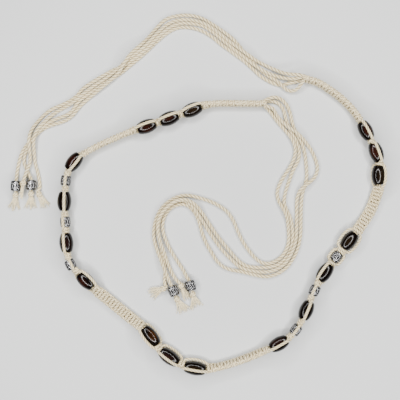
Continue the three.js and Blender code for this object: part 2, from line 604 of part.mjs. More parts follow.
// Raises the cords where they cross until each lies clear over those of a lower layer
function raiseCrossings(cords) {
  const reach = CORD_D + GAP;
  const samples = cords.flatMap((cord, c) => cord.points.slice(1).flatMap((_, n) => (
    Array.from({ length: SAMPLES_A_STEP }, (__, k) => {
      const share = (k + 0.5) / SAMPLES_A_STEP;
      const { x, y } = cord.points[n].clone().lerp(cord.points[n + 1], share);
      return { c, n, share, x, y, layer: cord.layerAt(n + share) };
    }))));
  const pairs = [];
  samples.forEach((a, i) => samples.slice(i + 1).forEach((b) => {
    const apart = Math.hypot(a.x - b.x, a.y - b.y);
    if (a.c === b.c || apart > reach) return;
    const over = a.layer > b.layer ? [a, b] : [b, a];
    pairs.push({ over: over[0], under: over[1], rise: Math.sqrt(reach ** 2 - apart ** 2) });
  }));
  const height = ({ c, n, share }) => {
    const { points } = cords[c];
    return points[n].z + (points[n + 1].z - points[n].z) * share;
  };
  let moved = true;
  const lift = (points, n, least) => {
    if (n <= 0 || n >= points.length - 1 || points[n].z > least - STILL) return;
    points[n].z = least;
    moved = true;
  };
  for (let left = samples.length; moved && left > 0; left -= 1) {
    moved = false;
    pairs.forEach(({ over, under, rise }) => {
      const least = height(under) + rise;
      if (height(over) >= least) return;
      lift(cords[over.c].points, over.n, least);
      lift(cords[over.c].points, over.n + 1, least);
    });
    cords.forEach(({ points }) => points.forEach((point, n) => {
      [points[n - 1], points[n + 1]].filter(Boolean).forEach((other) => {
        const fall = CORD_SLOPE * Math.hypot(point.x - other.x, point.y - other.y);
        lift(points, n, other.z - fall);
      });
    }));
  }
}

const laidCords = FREE_CORDS.map(layCord);
raiseCrossings(laidCords);

const cordSection = new THREE.Shape(Array.from({ length: CORD_SIDES }, (_, k) => {
  const turn = 2 * Math.PI * (k + 0.5) / CORD_SIDES;
  return new THREE.Vector2(CORD_D / 2 * Math.cos(turn), CORD_D / 2 * Math.sin(turn));
}));

laidCords.forEach(({ cord, points, way }) => {
  const extrudePath = new Steps(points, way);
  const options = { steps: points.length - 1, extrudePath, bevelEnabled: false };
  const tube = new THREE.ExtrudeGeometry(cordSection, options);
  addMesh(`free_cord_${cord.name}`, trimAtFace(tube, cord), COTTON);
});

// One lock of a frayed tip: a taper from the knot's middle down to the table, made along X
function makeLock(side, end, knotHeight) {
  const turn = radians(end.spread * side);
  const low = end.droop ? -end.droop : FRAY_TIP_D / 2 - knotHeight;
  const reach = FRAY_LENGTH * (side === 0 ? 1 : SIDE_LOCK_SHARE);
  const tip = new THREE.Vector3(reach * Math.cos(turn), reach * Math.sin(turn), low);
  const root = new THREE.Vector3(0, FRAY_ROOT_SPACING * side, 0);
  const ring = (middle, d) => Array.from({ length: LOCK_SIDES }, (_, k) => {
    const angle = 2 * Math.PI * k / LOCK_SIDES;
    const { x, y, z } = middle;
    return new THREE.Vector3(x, y + Math.cos(angle) * d / 2, z + Math.sin(angle) * d / 2);
  });
  return loft([ring(root, FRAY_ROOT_D), ring(tip, FRAY_TIP_D)]);
}

// Knot at the end of a free cord with its frayed locks, made along X
function makeEndKnot(end, knotHeight) {
  const knot = new THREE.SphereGeometry(0.5, 7, 4).rotateZ(Math.PI / 2);
  knot.scale(END_KNOT_LENGTH, END_KNOT_D, END_KNOT_D);
  return [knot, ...[-1, 0, 1].map((side) => makeLock(side, end, knotHeight))];
}

FREE_CORDS.forEach(({ name }) => {
  const end = CORD_ENDS[name];
  const [x, y] = end.knot;
  const height = END_KNOT_D / 2 + (end.lift ?? 0);
  const middle = new THREE.Vector3(x, y, height);
  const heading = radians(end.heading);
  const way = new THREE.Vector3(Math.cos(heading), Math.sin(heading), 0);
  const solids = makeEndKnot(end, height).map((shape) => toSolid(lay(shape, middle, way)));
  if (end.bead) {
    const seat = new THREE.Vector3(...end.bead, METAL_D / 2);
    const axis = middle.clone().sub(seat).setZ(0).normalize();
    const bead = makeBead(METAL_LENGTH, METAL_D, METAL_END_D, CORD_BORE_D, METAL_PROFILE);
    addMesh(`cord_bead_${name}`, lay(bead, seat, axis), METAL);
    const mouth = seat.clone().addScaledVector(axis, -METAL_LENGTH / 2);
    const leave = seat.clone().addScaledVector(axis, METAL_LENGTH / 2 + GAP);
    solids.push(toSolid(pulledCord([mouth, leave, middle], CORD_D)));
  }
  addMesh(`end_knot_${name}`, toGeometry(join(solids)), COTTON);
});

// The origin is under the middle of the belt itself, without its free cords
const box = new THREE.Box3();
const belt = group.children.filter((mesh) => !/^(free_cord|cord_bead|end_knot)/.test(mesh.name));
belt.forEach((mesh) => box.expandByObject(mesh));
const middle = box.getCenter(new THREE.Vector3());
group.position.set(-middle.x, -middle.y, -box.min.z);

export default group;
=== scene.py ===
"""The looks of the beaded tie belt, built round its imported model. Lengths are in metres.

The belt is six bands of square knots with five runs of beads between them. Its two working cords
wrap the filler cords in the bands, pass outside the beads, and make a small knot between two
beads. Four free cords leave each end, and end in metal beads, knots and frayed tips.
"""

import bpy
import numpy as np
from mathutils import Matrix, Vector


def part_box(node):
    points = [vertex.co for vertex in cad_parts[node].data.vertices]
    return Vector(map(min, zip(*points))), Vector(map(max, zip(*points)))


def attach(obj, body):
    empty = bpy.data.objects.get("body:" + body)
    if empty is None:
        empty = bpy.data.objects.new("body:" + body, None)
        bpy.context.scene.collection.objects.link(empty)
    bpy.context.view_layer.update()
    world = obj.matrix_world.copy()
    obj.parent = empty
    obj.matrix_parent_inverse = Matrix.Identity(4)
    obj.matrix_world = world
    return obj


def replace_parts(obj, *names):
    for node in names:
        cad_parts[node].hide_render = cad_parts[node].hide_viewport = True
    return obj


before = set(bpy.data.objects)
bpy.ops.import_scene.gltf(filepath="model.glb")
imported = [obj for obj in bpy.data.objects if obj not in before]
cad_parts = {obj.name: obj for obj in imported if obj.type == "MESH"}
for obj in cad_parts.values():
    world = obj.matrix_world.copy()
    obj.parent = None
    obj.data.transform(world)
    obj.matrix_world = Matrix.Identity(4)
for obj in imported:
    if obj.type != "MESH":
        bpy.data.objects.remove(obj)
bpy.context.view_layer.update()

MM = 0.001
UP = np.array([0.0, 0.0, 1.0])

# The photograph: a square picture, taken straight down
PICTURE_WIDTH = 0.36
PICTURE_CENTRE = (-0.0198, 0.0216)
CAMERA_HEIGHT = 1.3
SENSOR = 36.0

# Cords: the clearance that the model leaves, diameters, and steps along their meshes
GAP = 0.3 * MM
CORD_D = 3.3 * MM
WORKING_D = 2.55 * MM
FILLER_D = 2.4 * MM
CORD_STEP = 0.75 * MM
WORKING_STEP = 0.5 * MM
FILLER_STEP = 1.0 * MM

# Wooden beads, with the three longer ones of the third run, and metal beads
WOOD_D = 12.8 * MM
WOOD_LENGTH = 17.2 * MM
LONG_WOOD_LENGTH = 19.2 * MM
WOOD_END_D = 8.2 * MM
METAL_D = 9.6 * MM
METAL_LENGTH = 9.2 * MM
METAL_END_D = 7.8 * MM
BORE_D = 5.0 * MM

# Knotted bands: one half knot every HALF_KNOT. LEAD is the way from a band to a bead, BAND_RISE
# the length over which each end of a band turns and rises to meet the beads, and RUN_REACH how
# far a run's cords go on past its first and last bead.
BAND_WIDTH = 11 * MM
BAND_THICKNESS = 6.3 * MM
HALF_KNOT = 3.1 * MM
LEAD = 1.2 * MM
BAND_RISE = 11 * MM
RUN_REACH = 1.4 * LEAD

# Small knots between the beads
KNOT_WIDTH = 9.6 * MM
KNOT_THICKNESS = 6.4 * MM

# Way of a working cord past a bead, and how deep it beds against it
OUTER_CLEARANCE = 0.12 * MM
OUTER_D = 2.6 * MM
SHOULDER_RISE = 0.35
FLAT_SHARE = 0.44
BEDDING = 0.1 * MM

# Knots and frayed tips
END_KNOT_D = 6 * MM
END_KNOT_LENGTH = 5.4 * MM
KNOT_CORD_D = 2.6 * MM
KNOT_POINTS = 90
FRAY_LENGTH = 11 * MM

# Free cords: steepest rise over another cord, and how closely their crossings are worked out
CORD_SLOPE = 0.3
CROSSING_STEP = 2 * MM
RAISE_ROUNDS = 400
SETTLED = 0.01 * MM
SOFTENING = 3

# Order along the belt. Columns: kind, length, angle of the outer cord, angle of the inner cord.
# Angles are round the belt's middle line, from straight up towards the outside.
LAYOUT = [
    ("band", 0.0665, 15, 195),
    ("wood", WOOD_LENGTH, 11, 191), ("knot", 0.0038),
    ("wood", WOOD_LENGTH, 13, 193), ("knot", 0.0034),
    ("wood", WOOD_LENGTH, 50, 220),
    ("band", 0.0469, 90, 270),
    ("wood", WOOD_LENGTH, 90, 270), ("knot", 0.0047),
    ("metal", METAL_LENGTH, 90, 270), ("knot", 0.0038),
    ("wood", WOOD_LENGTH, 138, 333), ("knot", 0.0048),
    ("metal", METAL_LENGTH, 160, 351), ("knot", 0.0055),
    ("wood", WOOD_LENGTH, 178, 365), ("knot", 0.0061),
    ("metal", METAL_LENGTH, 182, 361), ("knot", 0.0062),
    ("wood", WOOD_LENGTH, 190, 367),
    ("band", 0.0591, 200, 380),
    ("wood", LONG_WOOD_LENGTH, 262, 369), ("knot", 0.0056),
    ("wood", LONG_WOOD_LENGTH, 250, 376), ("knot", 0.0056),
    ("wood", LONG_WOOD_LENGTH, 228, 404),
    ("band", 0.0562, 270, 450),
    ("wood", WOOD_LENGTH, 319, 499), ("knot", 0.0062),
    ("metal", METAL_LENGTH, 350, 530), ("knot", 0.0062),
    ("wood", WOOD_LENGTH, 374, 554), ("knot", 0.0049),
    ("metal", METAL_LENGTH, 378, 558), ("knot", 0.0049),
    ("wood", WOOD_LENGTH, 357, 537), ("knot", 0.0048),
    ("metal", METAL_LENGTH, 362, 542), ("knot", 0.0047),
    ("wood", WOOD_LENGTH, 343, 523),
    ("band", 0.0537, 361, 541),
    ("wood", WOOD_LENGTH, 379, 559), ("knot", 0.0037),
    ("wood", WOOD_LENGTH, 379, 559), ("knot", 0.0044),
    ("wood", WOOD_LENGTH, 384, 564),
    ("band", 0.0575, 366, 546),
]

# Route of the belt's middle line on the table, x and y
ROUTE = [
    (0.0725, 0.1315), (0.086, 0.1273), (0.098, 0.12), (0.11, 0.1105), (0.12, 0.0993),
    (0.129, 0.084), (0.134, 0.0743), (0.1384, 0.0645), (0.1413, 0.0545), (0.1407, 0.044),
    (0.1413, 0.0345), (0.1395, 0.027), (0.134, 0.0125), (0.1255, -0.001), (0.1146, -0.015),
    (0.1075, -0.024), (0.0988, -0.035), (0.0927, -0.0433), (0.0865, -0.053), (0.0803, -0.066),
    (0.0757, -0.0773), (0.071, -0.088), (0.0665, -0.0948), (0.0615, -0.101), (0.0513, -0.1074),
    (0.0415, -0.1123), (0.025, -0.1195), (0.009, -0.1252), (-0.006, -0.129),
    (-0.023, -0.13), (-0.0347, -0.1265), (-0.0466, -0.1203), (-0.056, -0.112),
    (-0.0637, -0.1018), (-0.071, -0.0935), (-0.08, -0.0865), (-0.09, -0.0785),
    (-0.1, -0.0703), (-0.112, -0.0605), (-0.1215, -0.0518), (-0.1305, -0.043),
    (-0.1355, -0.0375), (-0.1383, -0.03), (-0.1397, -0.0182), (-0.1408, 0.0006),
    (-0.1417, 0.0193), (-0.141, 0.031), (-0.1393, 0.0447), (-0.1339, 0.0546), (-0.127, 0.0615),
    (-0.112, 0.0702), (-0.096, 0.0775), (-0.08, 0.084), (-0.0693, 0.0872), (-0.059, 0.091),
    (-0.049, 0.0943), (-0.0383, 0.0986), (-0.028, 0.1022), (-0.019, 0.106), (-0.005, 0.1084),
    (0.015, 0.1085), (0.035, 0.1084), (0.041, 0.1092),
]

# Free cords: a leaves the belt's first end and b its last. exit is the place on that end's face,
# outwards and up from its middle, and route is x, y and layer: the higher one lies over the lower.
FREE_CORDS = {
    "a1": dict(exit=(-0.0019, 0.0019), route=[
        (0.0675, 0.1214, 1), (0.0626, 0.1199, 1), (0.0576, 0.1215, 1), (0.054, 0.1251, 1),
        (0.0491, 0.1292, 1), (0.0432, 0.1329, 1), (0.0369, 0.1374, 0), (0.0306, 0.1433, 0),
        (0.0243, 0.1503, 0), (0.0171, 0.1589, 0), (0.0099, 0.167, 0), (0.0018, 0.1733, 0),
        (-0.0081, 0.18, 0), (-0.0189, 0.186, 0), (-0.0297, 0.1885, 0), (-0.0405, 0.1879, 0),
        (-0.0508, 0.1846, 3), (-0.0598, 0.176, 3), (-0.0672, 0.1672, 3), (-0.0765, 0.1584, 3),
        (-0.0828, 0.1521, 3), (-0.0878, 0.1449, 3), (-0.0927, 0.1368, 3), (-0.0999, 0.13, 3),
        (-0.108, 0.1234, 2), (-0.117, 0.116, 1), (-0.1251, 0.1092, 1), (-0.1305, 0.1034, 1),
        (-0.1356, 0.0972, 1), (-0.1422, 0.093, 0), (-0.1512, 0.09, 0), (-0.1602, 0.0864, 0),
        (-0.1678, 0.0802, 0), (-0.1744, 0.0734, 0), (-0.1798, 0.0658, 0), (-0.1828, 0.0576, 0),
        (-0.1846, 0.0486, 0), (-0.1854, 0.0405, 0),
    ]),
    "a2": dict(exit=(-0.0019, -0.0019), route=[
        (0.0666, 0.1284, 0), (0.0603, 0.1271, 0), (0.054, 0.1253, 0), (0.0477, 0.1265, 0),
        (0.0414, 0.1294, 0), (0.0351, 0.1333, 0), (0.0288, 0.1391, 0), (0.0225, 0.145, 0),
        (0.0162, 0.1499, 0), (0.0081, 0.1558, 0), (-0.0009, 0.1623, 0), (-0.0099, 0.1696, 0),
        (-0.0198, 0.175, 0), (-0.0297, 0.1774, 0), (-0.0396, 0.1772, 0), (-0.0486, 0.1729, 0),
        (-0.0576, 0.1657, 0), (-0.0666, 0.1571, 0), (-0.0756, 0.149, 0), (-0.0837, 0.1423, 0),
        (-0.0909, 0.1364, 0), (-0.099, 0.1312, 0), (-0.1071, 0.1263, 0), (-0.1143, 0.1214, 0),
        (-0.1215, 0.1166, 0), (-0.1278, 0.1119, 0), (-0.1323, 0.1065, 0), (-0.1359, 0.1013, 0),
        (-0.1422, 0.0975, 0), (-0.1503, 0.0946, 0), (-0.1575, 0.0905, 0), (-0.1638, 0.0848, 0),
        (-0.1686, 0.0794, 0), (-0.1724, 0.0742, 0), (-0.1755, 0.068, 0), (-0.1782, 0.0612, 0),
        (-0.1786, 0.0549, 0), (-0.1757, 0.0482, 0), (-0.173, 0.0423, 0),
    ]),
    "a3": dict(exit=(0.0019, -0.0019), route=[
        (0.0657, 0.1308, 2), (0.0585, 0.1311, 2), (0.0513, 0.1327, 2), (0.0432, 0.1353, 2),
        (0.0369, 0.1384, 2), (0.0306, 0.1423, 2), (0.0243, 0.1471, 2), (0.0171, 0.1529, 2),
        (0.009, 0.1592, 1), (0.0009, 0.1657, 1), (-0.0072, 0.1725, 1), (-0.0171, 0.1788, 1),
        (-0.0279, 0.181, 1), (-0.0387, 0.1809, 1), (-0.0477, 0.177, 1), (-0.0567, 0.1693, 1),
        (-0.0648, 0.1608, 1), (-0.0738, 0.1531, 1), (-0.0819, 0.147, 1), (-0.09, 0.142, 1),
        (-0.0981, 0.139, 1), (-0.1053, 0.135, 1), (-0.1125, 0.1309, 0), (-0.1197, 0.1263, 0),
        (-0.126, 0.1217, 0), (-0.1314, 0.1154, 0), (-0.1386, 0.1104, 1), (-0.1467, 0.1066, 1),
        (-0.1548, 0.1028, 1), (-0.1613, 0.0976, 1), (-0.167, 0.0914, 1), (-0.1716, 0.0846, 2),
        (-0.1736, 0.0774, 2), (-0.1734, 0.0693, 2), (-0.1729, 0.0612, 1), (-0.1735, 0.054, 1),
        (-0.176, 0.0473, 1),
    ]),
    "a4": dict(exit=(0.0019, 0.0019), route=[
        (0.0666, 0.1342, 3), (0.0603, 0.1349, 3), (0.054, 0.1364, 3), (0.0468, 0.1396, 3),
        (0.0387, 0.1434, 3), (0.0306, 0.1477, 3), (0.0234, 0.1526, 3), (0.0162, 0.1578, 2),
        (0.0081, 0.1639, 2), (-0.0009, 0.1709, 2), (-0.0099, 0.1774, 2), (-0.0198, 0.1823, 2),
        (-0.0297, 0.1845, 2), (-0.0396, 0.1841, 2), (-0.0486, 0.1806, 2), (-0.0567, 0.1738, 2),
        (-0.0648, 0.1649, 2), (-0.0729, 0.1571, 2), (-0.0801, 0.1518, 2), (-0.0858, 0.1476, 2),
        (-0.0918, 0.1417, 2), (-0.099, 0.1357, 1), (-0.1062, 0.1306, 1), (-0.1134, 0.1262, 1),
        (-0.1206, 0.121, 1), (-0.1274, 0.1154, 1), (-0.1341, 0.11, 2), (-0.1413, 0.1056, 2),
        (-0.1485, 0.1016, 2), (-0.1548, 0.097, 1), (-0.1602, 0.0916, 1), (-0.1656, 0.0855, 1),
        (-0.1688, 0.0788, 1), (-0.1696, 0.0711, 1), (-0.1692, 0.063, 0), (-0.1686, 0.0549, 0),
        (-0.1664, 0.0465, 0), (-0.1648, 0.0386, 0), (-0.1645, 0.0328, 0),
    ]),
    "b1": dict(exit=(-0.002, -0.0019), route=[
        (0.043, 0.1018, 1), (0.0504, 0.0921, 1), (0.061, 0.0797, 1), (0.0649, 0.0732, 1),
        (0.0663, 0.0666, 1), (0.0649, 0.0585, 1), (0.0609, 0.0504, 1), (0.056, 0.0428, 0),
        (0.0518, 0.0351, 0), (0.0499, 0.0275, 0), (0.0513, 0.0207, 1), (0.0552, 0.014, 1),
        (0.0586, 0.0063, 1), (0.0599, -0.0027, 1), (0.0604, -0.0126, 1), (0.059, -0.021, 1),
        (0.0552, -0.028, 1), (0.0496, -0.0329, 1), (0.0428, -0.0356, 1), (0.0356, -0.0348, 1),
        (0.0293, -0.03, 0), (0.0234, -0.0228, 0), (0.0185, -0.0153, 0), (0.0144, -0.0068, 0),
        (0.0106, 0.0023, 0), (0.005, 0.0106, 0), (-0.0027, 0.0164, 0), (-0.0117, 0.0207, 0),
        (-0.0297, 0.0256, 0), (-0.0387, 0.0249, 0), (-0.0479, 0.0204, 0), (-0.0549, 0.0135, 0),
        (-0.0593, 0.005, 0), (-0.0614, -0.0045, 0), (-0.0612, -0.014, 1), (-0.0584, -0.0239, 1),
        (-0.0545, -0.0338, 1), (-0.0506, -0.0441, 1), (-0.047, -0.0527, 1),
    ]),
    "b2": dict(exit=(0.002, -0.0019), route=[
        (0.046, 0.1106, 0), (0.051, 0.1088, 0), (0.0549, 0.1044, 0), (0.0587, 0.0916, 0),
        (0.0614, 0.0854, 0), (0.0684, 0.072, 0), (0.0699, 0.065, 0), (0.0689, 0.0574, 0),
        (0.065, 0.0498, 0), (0.062, 0.0424, 0), (0.057, 0.0266, 0), (0.0564, 0.0186, 0),
        (0.0622, 0.0044, 0), (0.0636, -0.004, 0), (0.064, -0.013, 0), (0.0625, -0.022, 0),
        (0.0584, -0.03, 0), (0.0522, -0.0358, 0), (0.0446, -0.0387, 0), (0.0288, -0.0392, 0),
        (0.0207, -0.0374, 0), (0.014, -0.0324, 0), (0.0077, -0.0252, 0), (0.0009, -0.0171, 0),
        (-0.0052, -0.0093, 0), (-0.0111, -0.0005, 2), (-0.017, 0.0086, 2), (-0.0234, 0.0166, 2),
        (-0.0311, 0.0215, 2), (-0.0396, 0.0214, 2), (-0.0475, 0.0169, 2), (-0.0538, 0.0102, 2),
        (-0.0573, 0.0023, 2), (-0.0578, -0.0063, 2), (-0.0558, -0.0153, 2), (-0.0527, -0.0243, 2),
        (-0.0495, -0.0338, 2), (-0.0456, -0.0432, 2), (-0.041, -0.0508, 2),
    ]),
    "b3": dict(exit=(0.002, 0.0019), route=[
        (0.046, 0.1142, 1), (0.0526, 0.113, 1), (0.0581, 0.108, 1), (0.0612, 0.1014, 1),
        (0.0649, 0.087, 1), (0.0722, 0.0728, 1), (0.0745, 0.0657, 0), (0.0756, 0.0576, 0),
        (0.0765, 0.0414, 0), (0.0729, 0.0279, 0), (0.0718, 0.0198, 0), (0.0713, 0.0018, 0),
        (0.0712, -0.0072, 0), (0.07, -0.0162, 0), (0.0675, -0.0248, 0), (0.063, -0.0333, 0),
        (0.057, -0.0405, 0), (0.0495, -0.0453, 0), (0.0414, -0.0476, 0), (0.0333, -0.0469, 0),
        (0.0171, -0.043, 0), (0.009, -0.0416, 0), (0.0016, -0.0389, 0), (-0.0043, -0.0338, 0),
        (-0.0092, -0.0261, 0), (-0.0137, -0.0185, 0), (-0.017, -0.0108, 0), (-0.0219, 0.0051, 0),
        (-0.0265, 0.0127, 0), (-0.0332, 0.0174, 0), (-0.0403, 0.0172, 0), (-0.0468, 0.0136, 0),
        (-0.0514, 0.0076, 0), (-0.0534, 0.0003, 0), (-0.053, -0.007, 0), (-0.0483, -0.02, 0),
        (-0.0397, -0.0345, 0), (-0.0354, -0.041, 0), (-0.032, -0.0475, 0),
    ]),
    "b4": dict(exit=(-0.002, 0.0019), route=[
        (0.046, 0.1038, 2), (0.0494, 0.098, 2), (0.0578, 0.089, 2), (0.0676, 0.082, 2),
        (0.0724, 0.0774, 2), (0.077, 0.072, 1), (0.081, 0.066, 0), (0.086, 0.053, 0),
        (0.0857, 0.0465, 0), (0.0828, 0.041, 1), (0.0733, 0.033, 1), (0.0695, 0.0282, 1),
        (0.0678, 0.022, 0), (0.0676, 0.006, 0), (0.067, -0.012, 0), (0.0653, -0.02, 0),
        (0.0616, -0.0284, 1), (0.0565, -0.036, 1), (0.0495, -0.0408, 1), (0.0415, -0.0432, 1),
        (0.033, -0.0432, 1), (0.017, -0.0393, 1), (0.0115, -0.035, 1), (0.0062, -0.0298, 0),
        (0.0012, -0.0246, 0), (-0.008, -0.0124, 0), (-0.0126, -0.0054, 0), (-0.0174, 0.0024, 1),
        (-0.0278, 0.0168, 1), (-0.034, 0.0209, 1), (-0.0406, 0.0207, 1), (-0.0472, 0.0169, 1),
        (-0.053, 0.0106, 1), (-0.0566, 0.003, 1), (-0.0574, -0.005, 1), (-0.0566, -0.013, 0),
        (-0.0533, -0.029, 0), (-0.0514, -0.045, 0), (-0.052, -0.052, 0),
    ]),
}

# Beads, knots and frayed tips at the ends of the free cords: middle of the bead and of the knot
# as x and y, heading of the tip, and the angle by which its strands spread
CORD_ENDS = {
    "a1": dict(bead=(-0.1857, 0.0342), knot=(-0.1862, 0.0262), heading=262, spread=20),
    "a2": dict(bead=(-0.1719, 0.0351), knot=(-0.1723, 0.0271), heading=268, spread=20),
    "a3": dict(knot=(-0.1788, 0.0366), heading=262, spread=5, lift=0.0056, droop=0.0022),
    "a4": dict(knot=(-0.165, 0.0267), heading=298, spread=18),
    "b1": dict(bead=(-0.0437, -0.0603), knot=(-0.0406, -0.0679), heading=297, spread=22),
    "b2": dict(knot=(-0.0368, -0.0558), heading=300, spread=14),
    "b3": dict(bead=(-0.0284, -0.0556), knot=(-0.0262, -0.0635), heading=288, spread=24),
    "b4": dict(knot=(-0.053, -0.0584), heading=207, spread=22),
}


# Paths

def unit(v):
    return v / np.linalg.norm(v)


def smooth_path(points, span=20):
    """Centripetal Catmull-Rom curve through points, with the share of rows passed at each sample."""
    p = np.asarray(points, float)
    p = np.vstack([2 * p[0] - p[1], p, 2 * p[-1] - p[-2]])
    share = np.linspace(0, 1, span, endpoint=False)[:, None]
    stretches = []
    for a, b, c, d in zip(p, p[1:], p[2:], p[3:]):
        before, along, after = (np.linalg.norm(e - s) ** 0.5 for s, e in ((a, b), (b, c), (c, d)))
        leave = ((b - a) / before - (c - a) / (before + along) + (c - b) / along) * along
        arrive = ((c - b) / along - (d - b) / (along + after) + (d - c) / after) * along
        square = 3 * (c - b) - 2 * leave - arrive
        cube = 2 * (b - c) + leave + arrive
        stretches.append(b + leave * share + square * share ** 2 + cube * share ** 3)
    rows = np.arange(span * len(stretches) + 1) / span
    return np.vstack([*stretches, p[-2:-1]]), rows


def lengths_along(points):
    steps = np.linalg.norm(np.diff(points, axis=0), axis=1)
    return np.concatenate([[0], np.cumsum(steps)])


def resample(points, step, *values):
    """Points at even steps along a path, and each value at them."""
    along = lengths_along(points)
    count = max(int(round(along[-1] / step)), 2)
    at = np.linspace(0, along[-1], count + 1)
    spaced = np.column_stack([np.interp(at, along, axis) for axis in points.T])
    return (spaced, *(np.interp(at, along, value) for value in values))


# Least sideways share of a path that counts as not upright
SIDEWAYS = 0.1


def frames(points):
    """Way, side and top at each point of a path, turning as little as they can along it."""
    way = np.gradient(points, axis=0)
    way /= np.linalg.norm(way, axis=1)[:, None]
    side = np.empty_like(way)
    across = np.cross(UP, way[0])
    side[0] = unit(across if np.linalg.norm(across) > SIDEWAYS else np.cross([1.0, 0, 0], way[0]))
    for n in range(1, len(way)):
        side[n] = unit(side[n - 1] - way[n] * np.dot(side[n - 1], way[n]))
    return way, side, np.cross(way, side)


# Places along the belt

def place_pieces():
    pieces, at = [], 0.0
    for n, (kind, length, *angles) in enumerate(LAYOUT):
        pieces.append(dict(kind=kind, length=length, angles=angles, start=at,
                           middle=at + length / 2, end=at + length))
        to_band = n + 1 < len(LAYOUT) and (kind == "band") != (LAYOUT[n + 1][0] == "band")
        at += length + (LEAD if to_band else GAP)
    return pieces


def is_bead(piece):
    return piece["kind"] in ("wood", "metal")


def bead_radii(piece):
    """Radius of a bead at its middle and at its ends."""
    wood = piece["kind"] == "wood"
    return (WOOD_D / 2, WOOD_END_D / 2) if wood else (METAL_D / 2, METAL_END_D / 2)


def rest_height(piece):
    """Height of a piece's middle line when its lowest point touches the table."""
    turns = np.radians(piece["angles"])
    if is_bead(piece):
        radius = bead_radii(piece)[0]
        offset = radius + GAP + OUTER_CLEARANCE + OUTER_D / 2
        return max(radius, max(-np.cos(turns)) * offset + OUTER_D / 2)
    edge = abs(np.cos(turns[0])) * BAND_WIDTH / 2
    return edge + abs(np.sin(turns[0])) * BAND_THICKNESS / 2


def make_keys():
    """Station, height and the two cords' angles where each bead or band begins and ends."""
    keys = []
    for piece in pieces:
        if piece["kind"] == "knot":
            continue
        inset = BAND_RISE if piece["kind"] == "band" else 0.0
        row = (rest_height(piece), *piece["angles"])
        keys += [(piece["start"] + inset, *row), (piece["end"] - inset, *row)]
    return np.array(keys)


pieces = place_pieces()
keys = make_keys()
belt_line = smooth_path(ROUTE, span=60)[0]
belt_lengths = lengths_along(belt_line)


def route_point(s):
    inside = float(np.clip(s, 0, belt_lengths[-1]))
    point = np.array([np.interp(inside, belt_lengths, axis) for axis in belt_line.T])
    n = int(np.clip(np.searchsorted(belt_lengths, inside), 1, len(belt_line) - 1))
    way = unit(belt_line[n] - belt_line[n - 1])
    return point + way * (s - inside), way


def box_middle(node):
    low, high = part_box(node)
    return (np.array(low) + np.array(high)) / 2


first_wood = next(piece for piece in pieces if piece["kind"] == "wood")
SHIFT = box_middle("wood_bead_1")[:2] - route_point(first_wood["middle"])[0]


def belt_at(s):
    """Point, way along, way outwards, and the angles of the outer and the inner cord."""
    flat, flat_way = route_point(s)
    after = min(int(np.searchsorted(keys[:, 0], s, side="right")), len(keys) - 1)
    low, high = keys[max(after - 1, 0)], keys[after]
    share = 0.0 if high[0] <= low[0] else float(np.clip((s - low[0]) / (high[0] - low[0]), 0, 1))
    share = share * share * (3 - 2 * share)
    height, outer, inner = low[1:] + (high[1:] - low[1:]) * share
    way = np.array([*flat_way, 0.0])
    return dict(point=np.array([*(flat + SHIFT), height]), way=way, out=np.cross(UP, way),
                outer=outer, inner=inner)


def direction(place, angle):
    """Way from the belt's middle line at an angle from straight up towards the outside."""
    return UP * np.cos(np.radians(angle)) + place["out"] * np.sin(np.radians(angle))


def roll_at(place):
    """Angle of the belt's width, midway between its outer cord and the way opposite its inner one."""
    return (place["outer"] + place["inner"] - 180) / 2


def in_section(s, wide, thick):
    """Point of a band or small knot, from its middle across its width and its thickness."""
    place = belt_at(s)
    roll = roll_at(place)
    return place["point"] + direction(place, roll) * wide + direction(place, roll - 90) * thick


# Meshes

def new_object(name, data):
    obj = bpy.data.objects.new(name, data)
    bpy.context.scene.collection.objects.link(obj)
    return obj


class Shells:
    """One piece's mesh, put together from closed shells, with its pattern coordinates."""

    def __init__(self):
        self.points, self.faces, self.coords, self.marks, self.count = [], [], [], [], 0

    def add(self, rings, along, around, mark, capped=True):
        """Shell through rings. along and around are pattern coordinates, mark a value a point."""
        rows, sides = rings.shape[:2]
        r, k = np.meshgrid(np.arange(rows - 1), np.arange(sides), indexing="ij")
        r, k = r.ravel(), k.ravel()
        after = (k + 1) % sides
        quads = np.column_stack([r * sides + k, r * sides + after,
                                 (r + 1) * sides + after, (r + 1) * sides + k])
        self.faces += (quads + self.count).tolist()
        self.coords += np.stack([
            np.column_stack([around[k], along[r]]), np.column_stack([around[k + 1], along[r]]),
            np.column_stack([around[k + 1], along[r + 1]]),
            np.column_stack([around[k], along[r + 1]])], axis=1).reshape(-1, 2).tolist()
        self.points += rings.reshape(-1, 3).tolist()
        self.marks += np.asarray(mark, float).ravel().tolist()
        if capped:
            for row, order in ((0, range(sides - 1, -1, -1)), (rows - 1, range(sides))):
                self.faces.append([self.count + row * sides + j for j in order])
                self.coords += [[around[j], along[row]] for j in order]
        self.count += rows * sides

    def build(self, name, material, nodes):
        mesh = bpy.data.meshes.new(name)
        mesh.from_pydata(self.points, [], self.faces)
        layer = mesh.uv_layers.new(name="pattern")
        layer.data.foreach_set("uv", np.array(self.coords, np.float32).ravel())
        mark = mesh.attributes.new("mark", "FLOAT", "POINT")
        mark.data.foreach_set("value", np.array(self.marks, np.float32))
        mesh.polygons.foreach_set("use_smooth", [True] * len(mesh.polygons))
        mesh.materials.append(material)
        obj = new_object(name, mesh)
        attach(obj, "root")
        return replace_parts(obj, *nodes)


# A twisted cord: its plies, the shares of its radius at which a ply's middle lies and of the ply's
# own radius, the sides of each ply, and the length of one turn in diameters
PLIES = 3
PLY_OFFSET = 0.28
PLY_RADIUS = 0.72
PLY_SIDES = 5
PLY_PITCH = 3.6


def tube_rings(path, radius, spin):
    """Rings round a path, with the radius and the turn of each point of each ring."""
    _, side, top = frames(path)
    return path[:, None, :] + radius[..., None] * (
        np.cos(spin)[..., None] * side[:, None, :] + np.sin(spin)[..., None] * top[:, None, :])


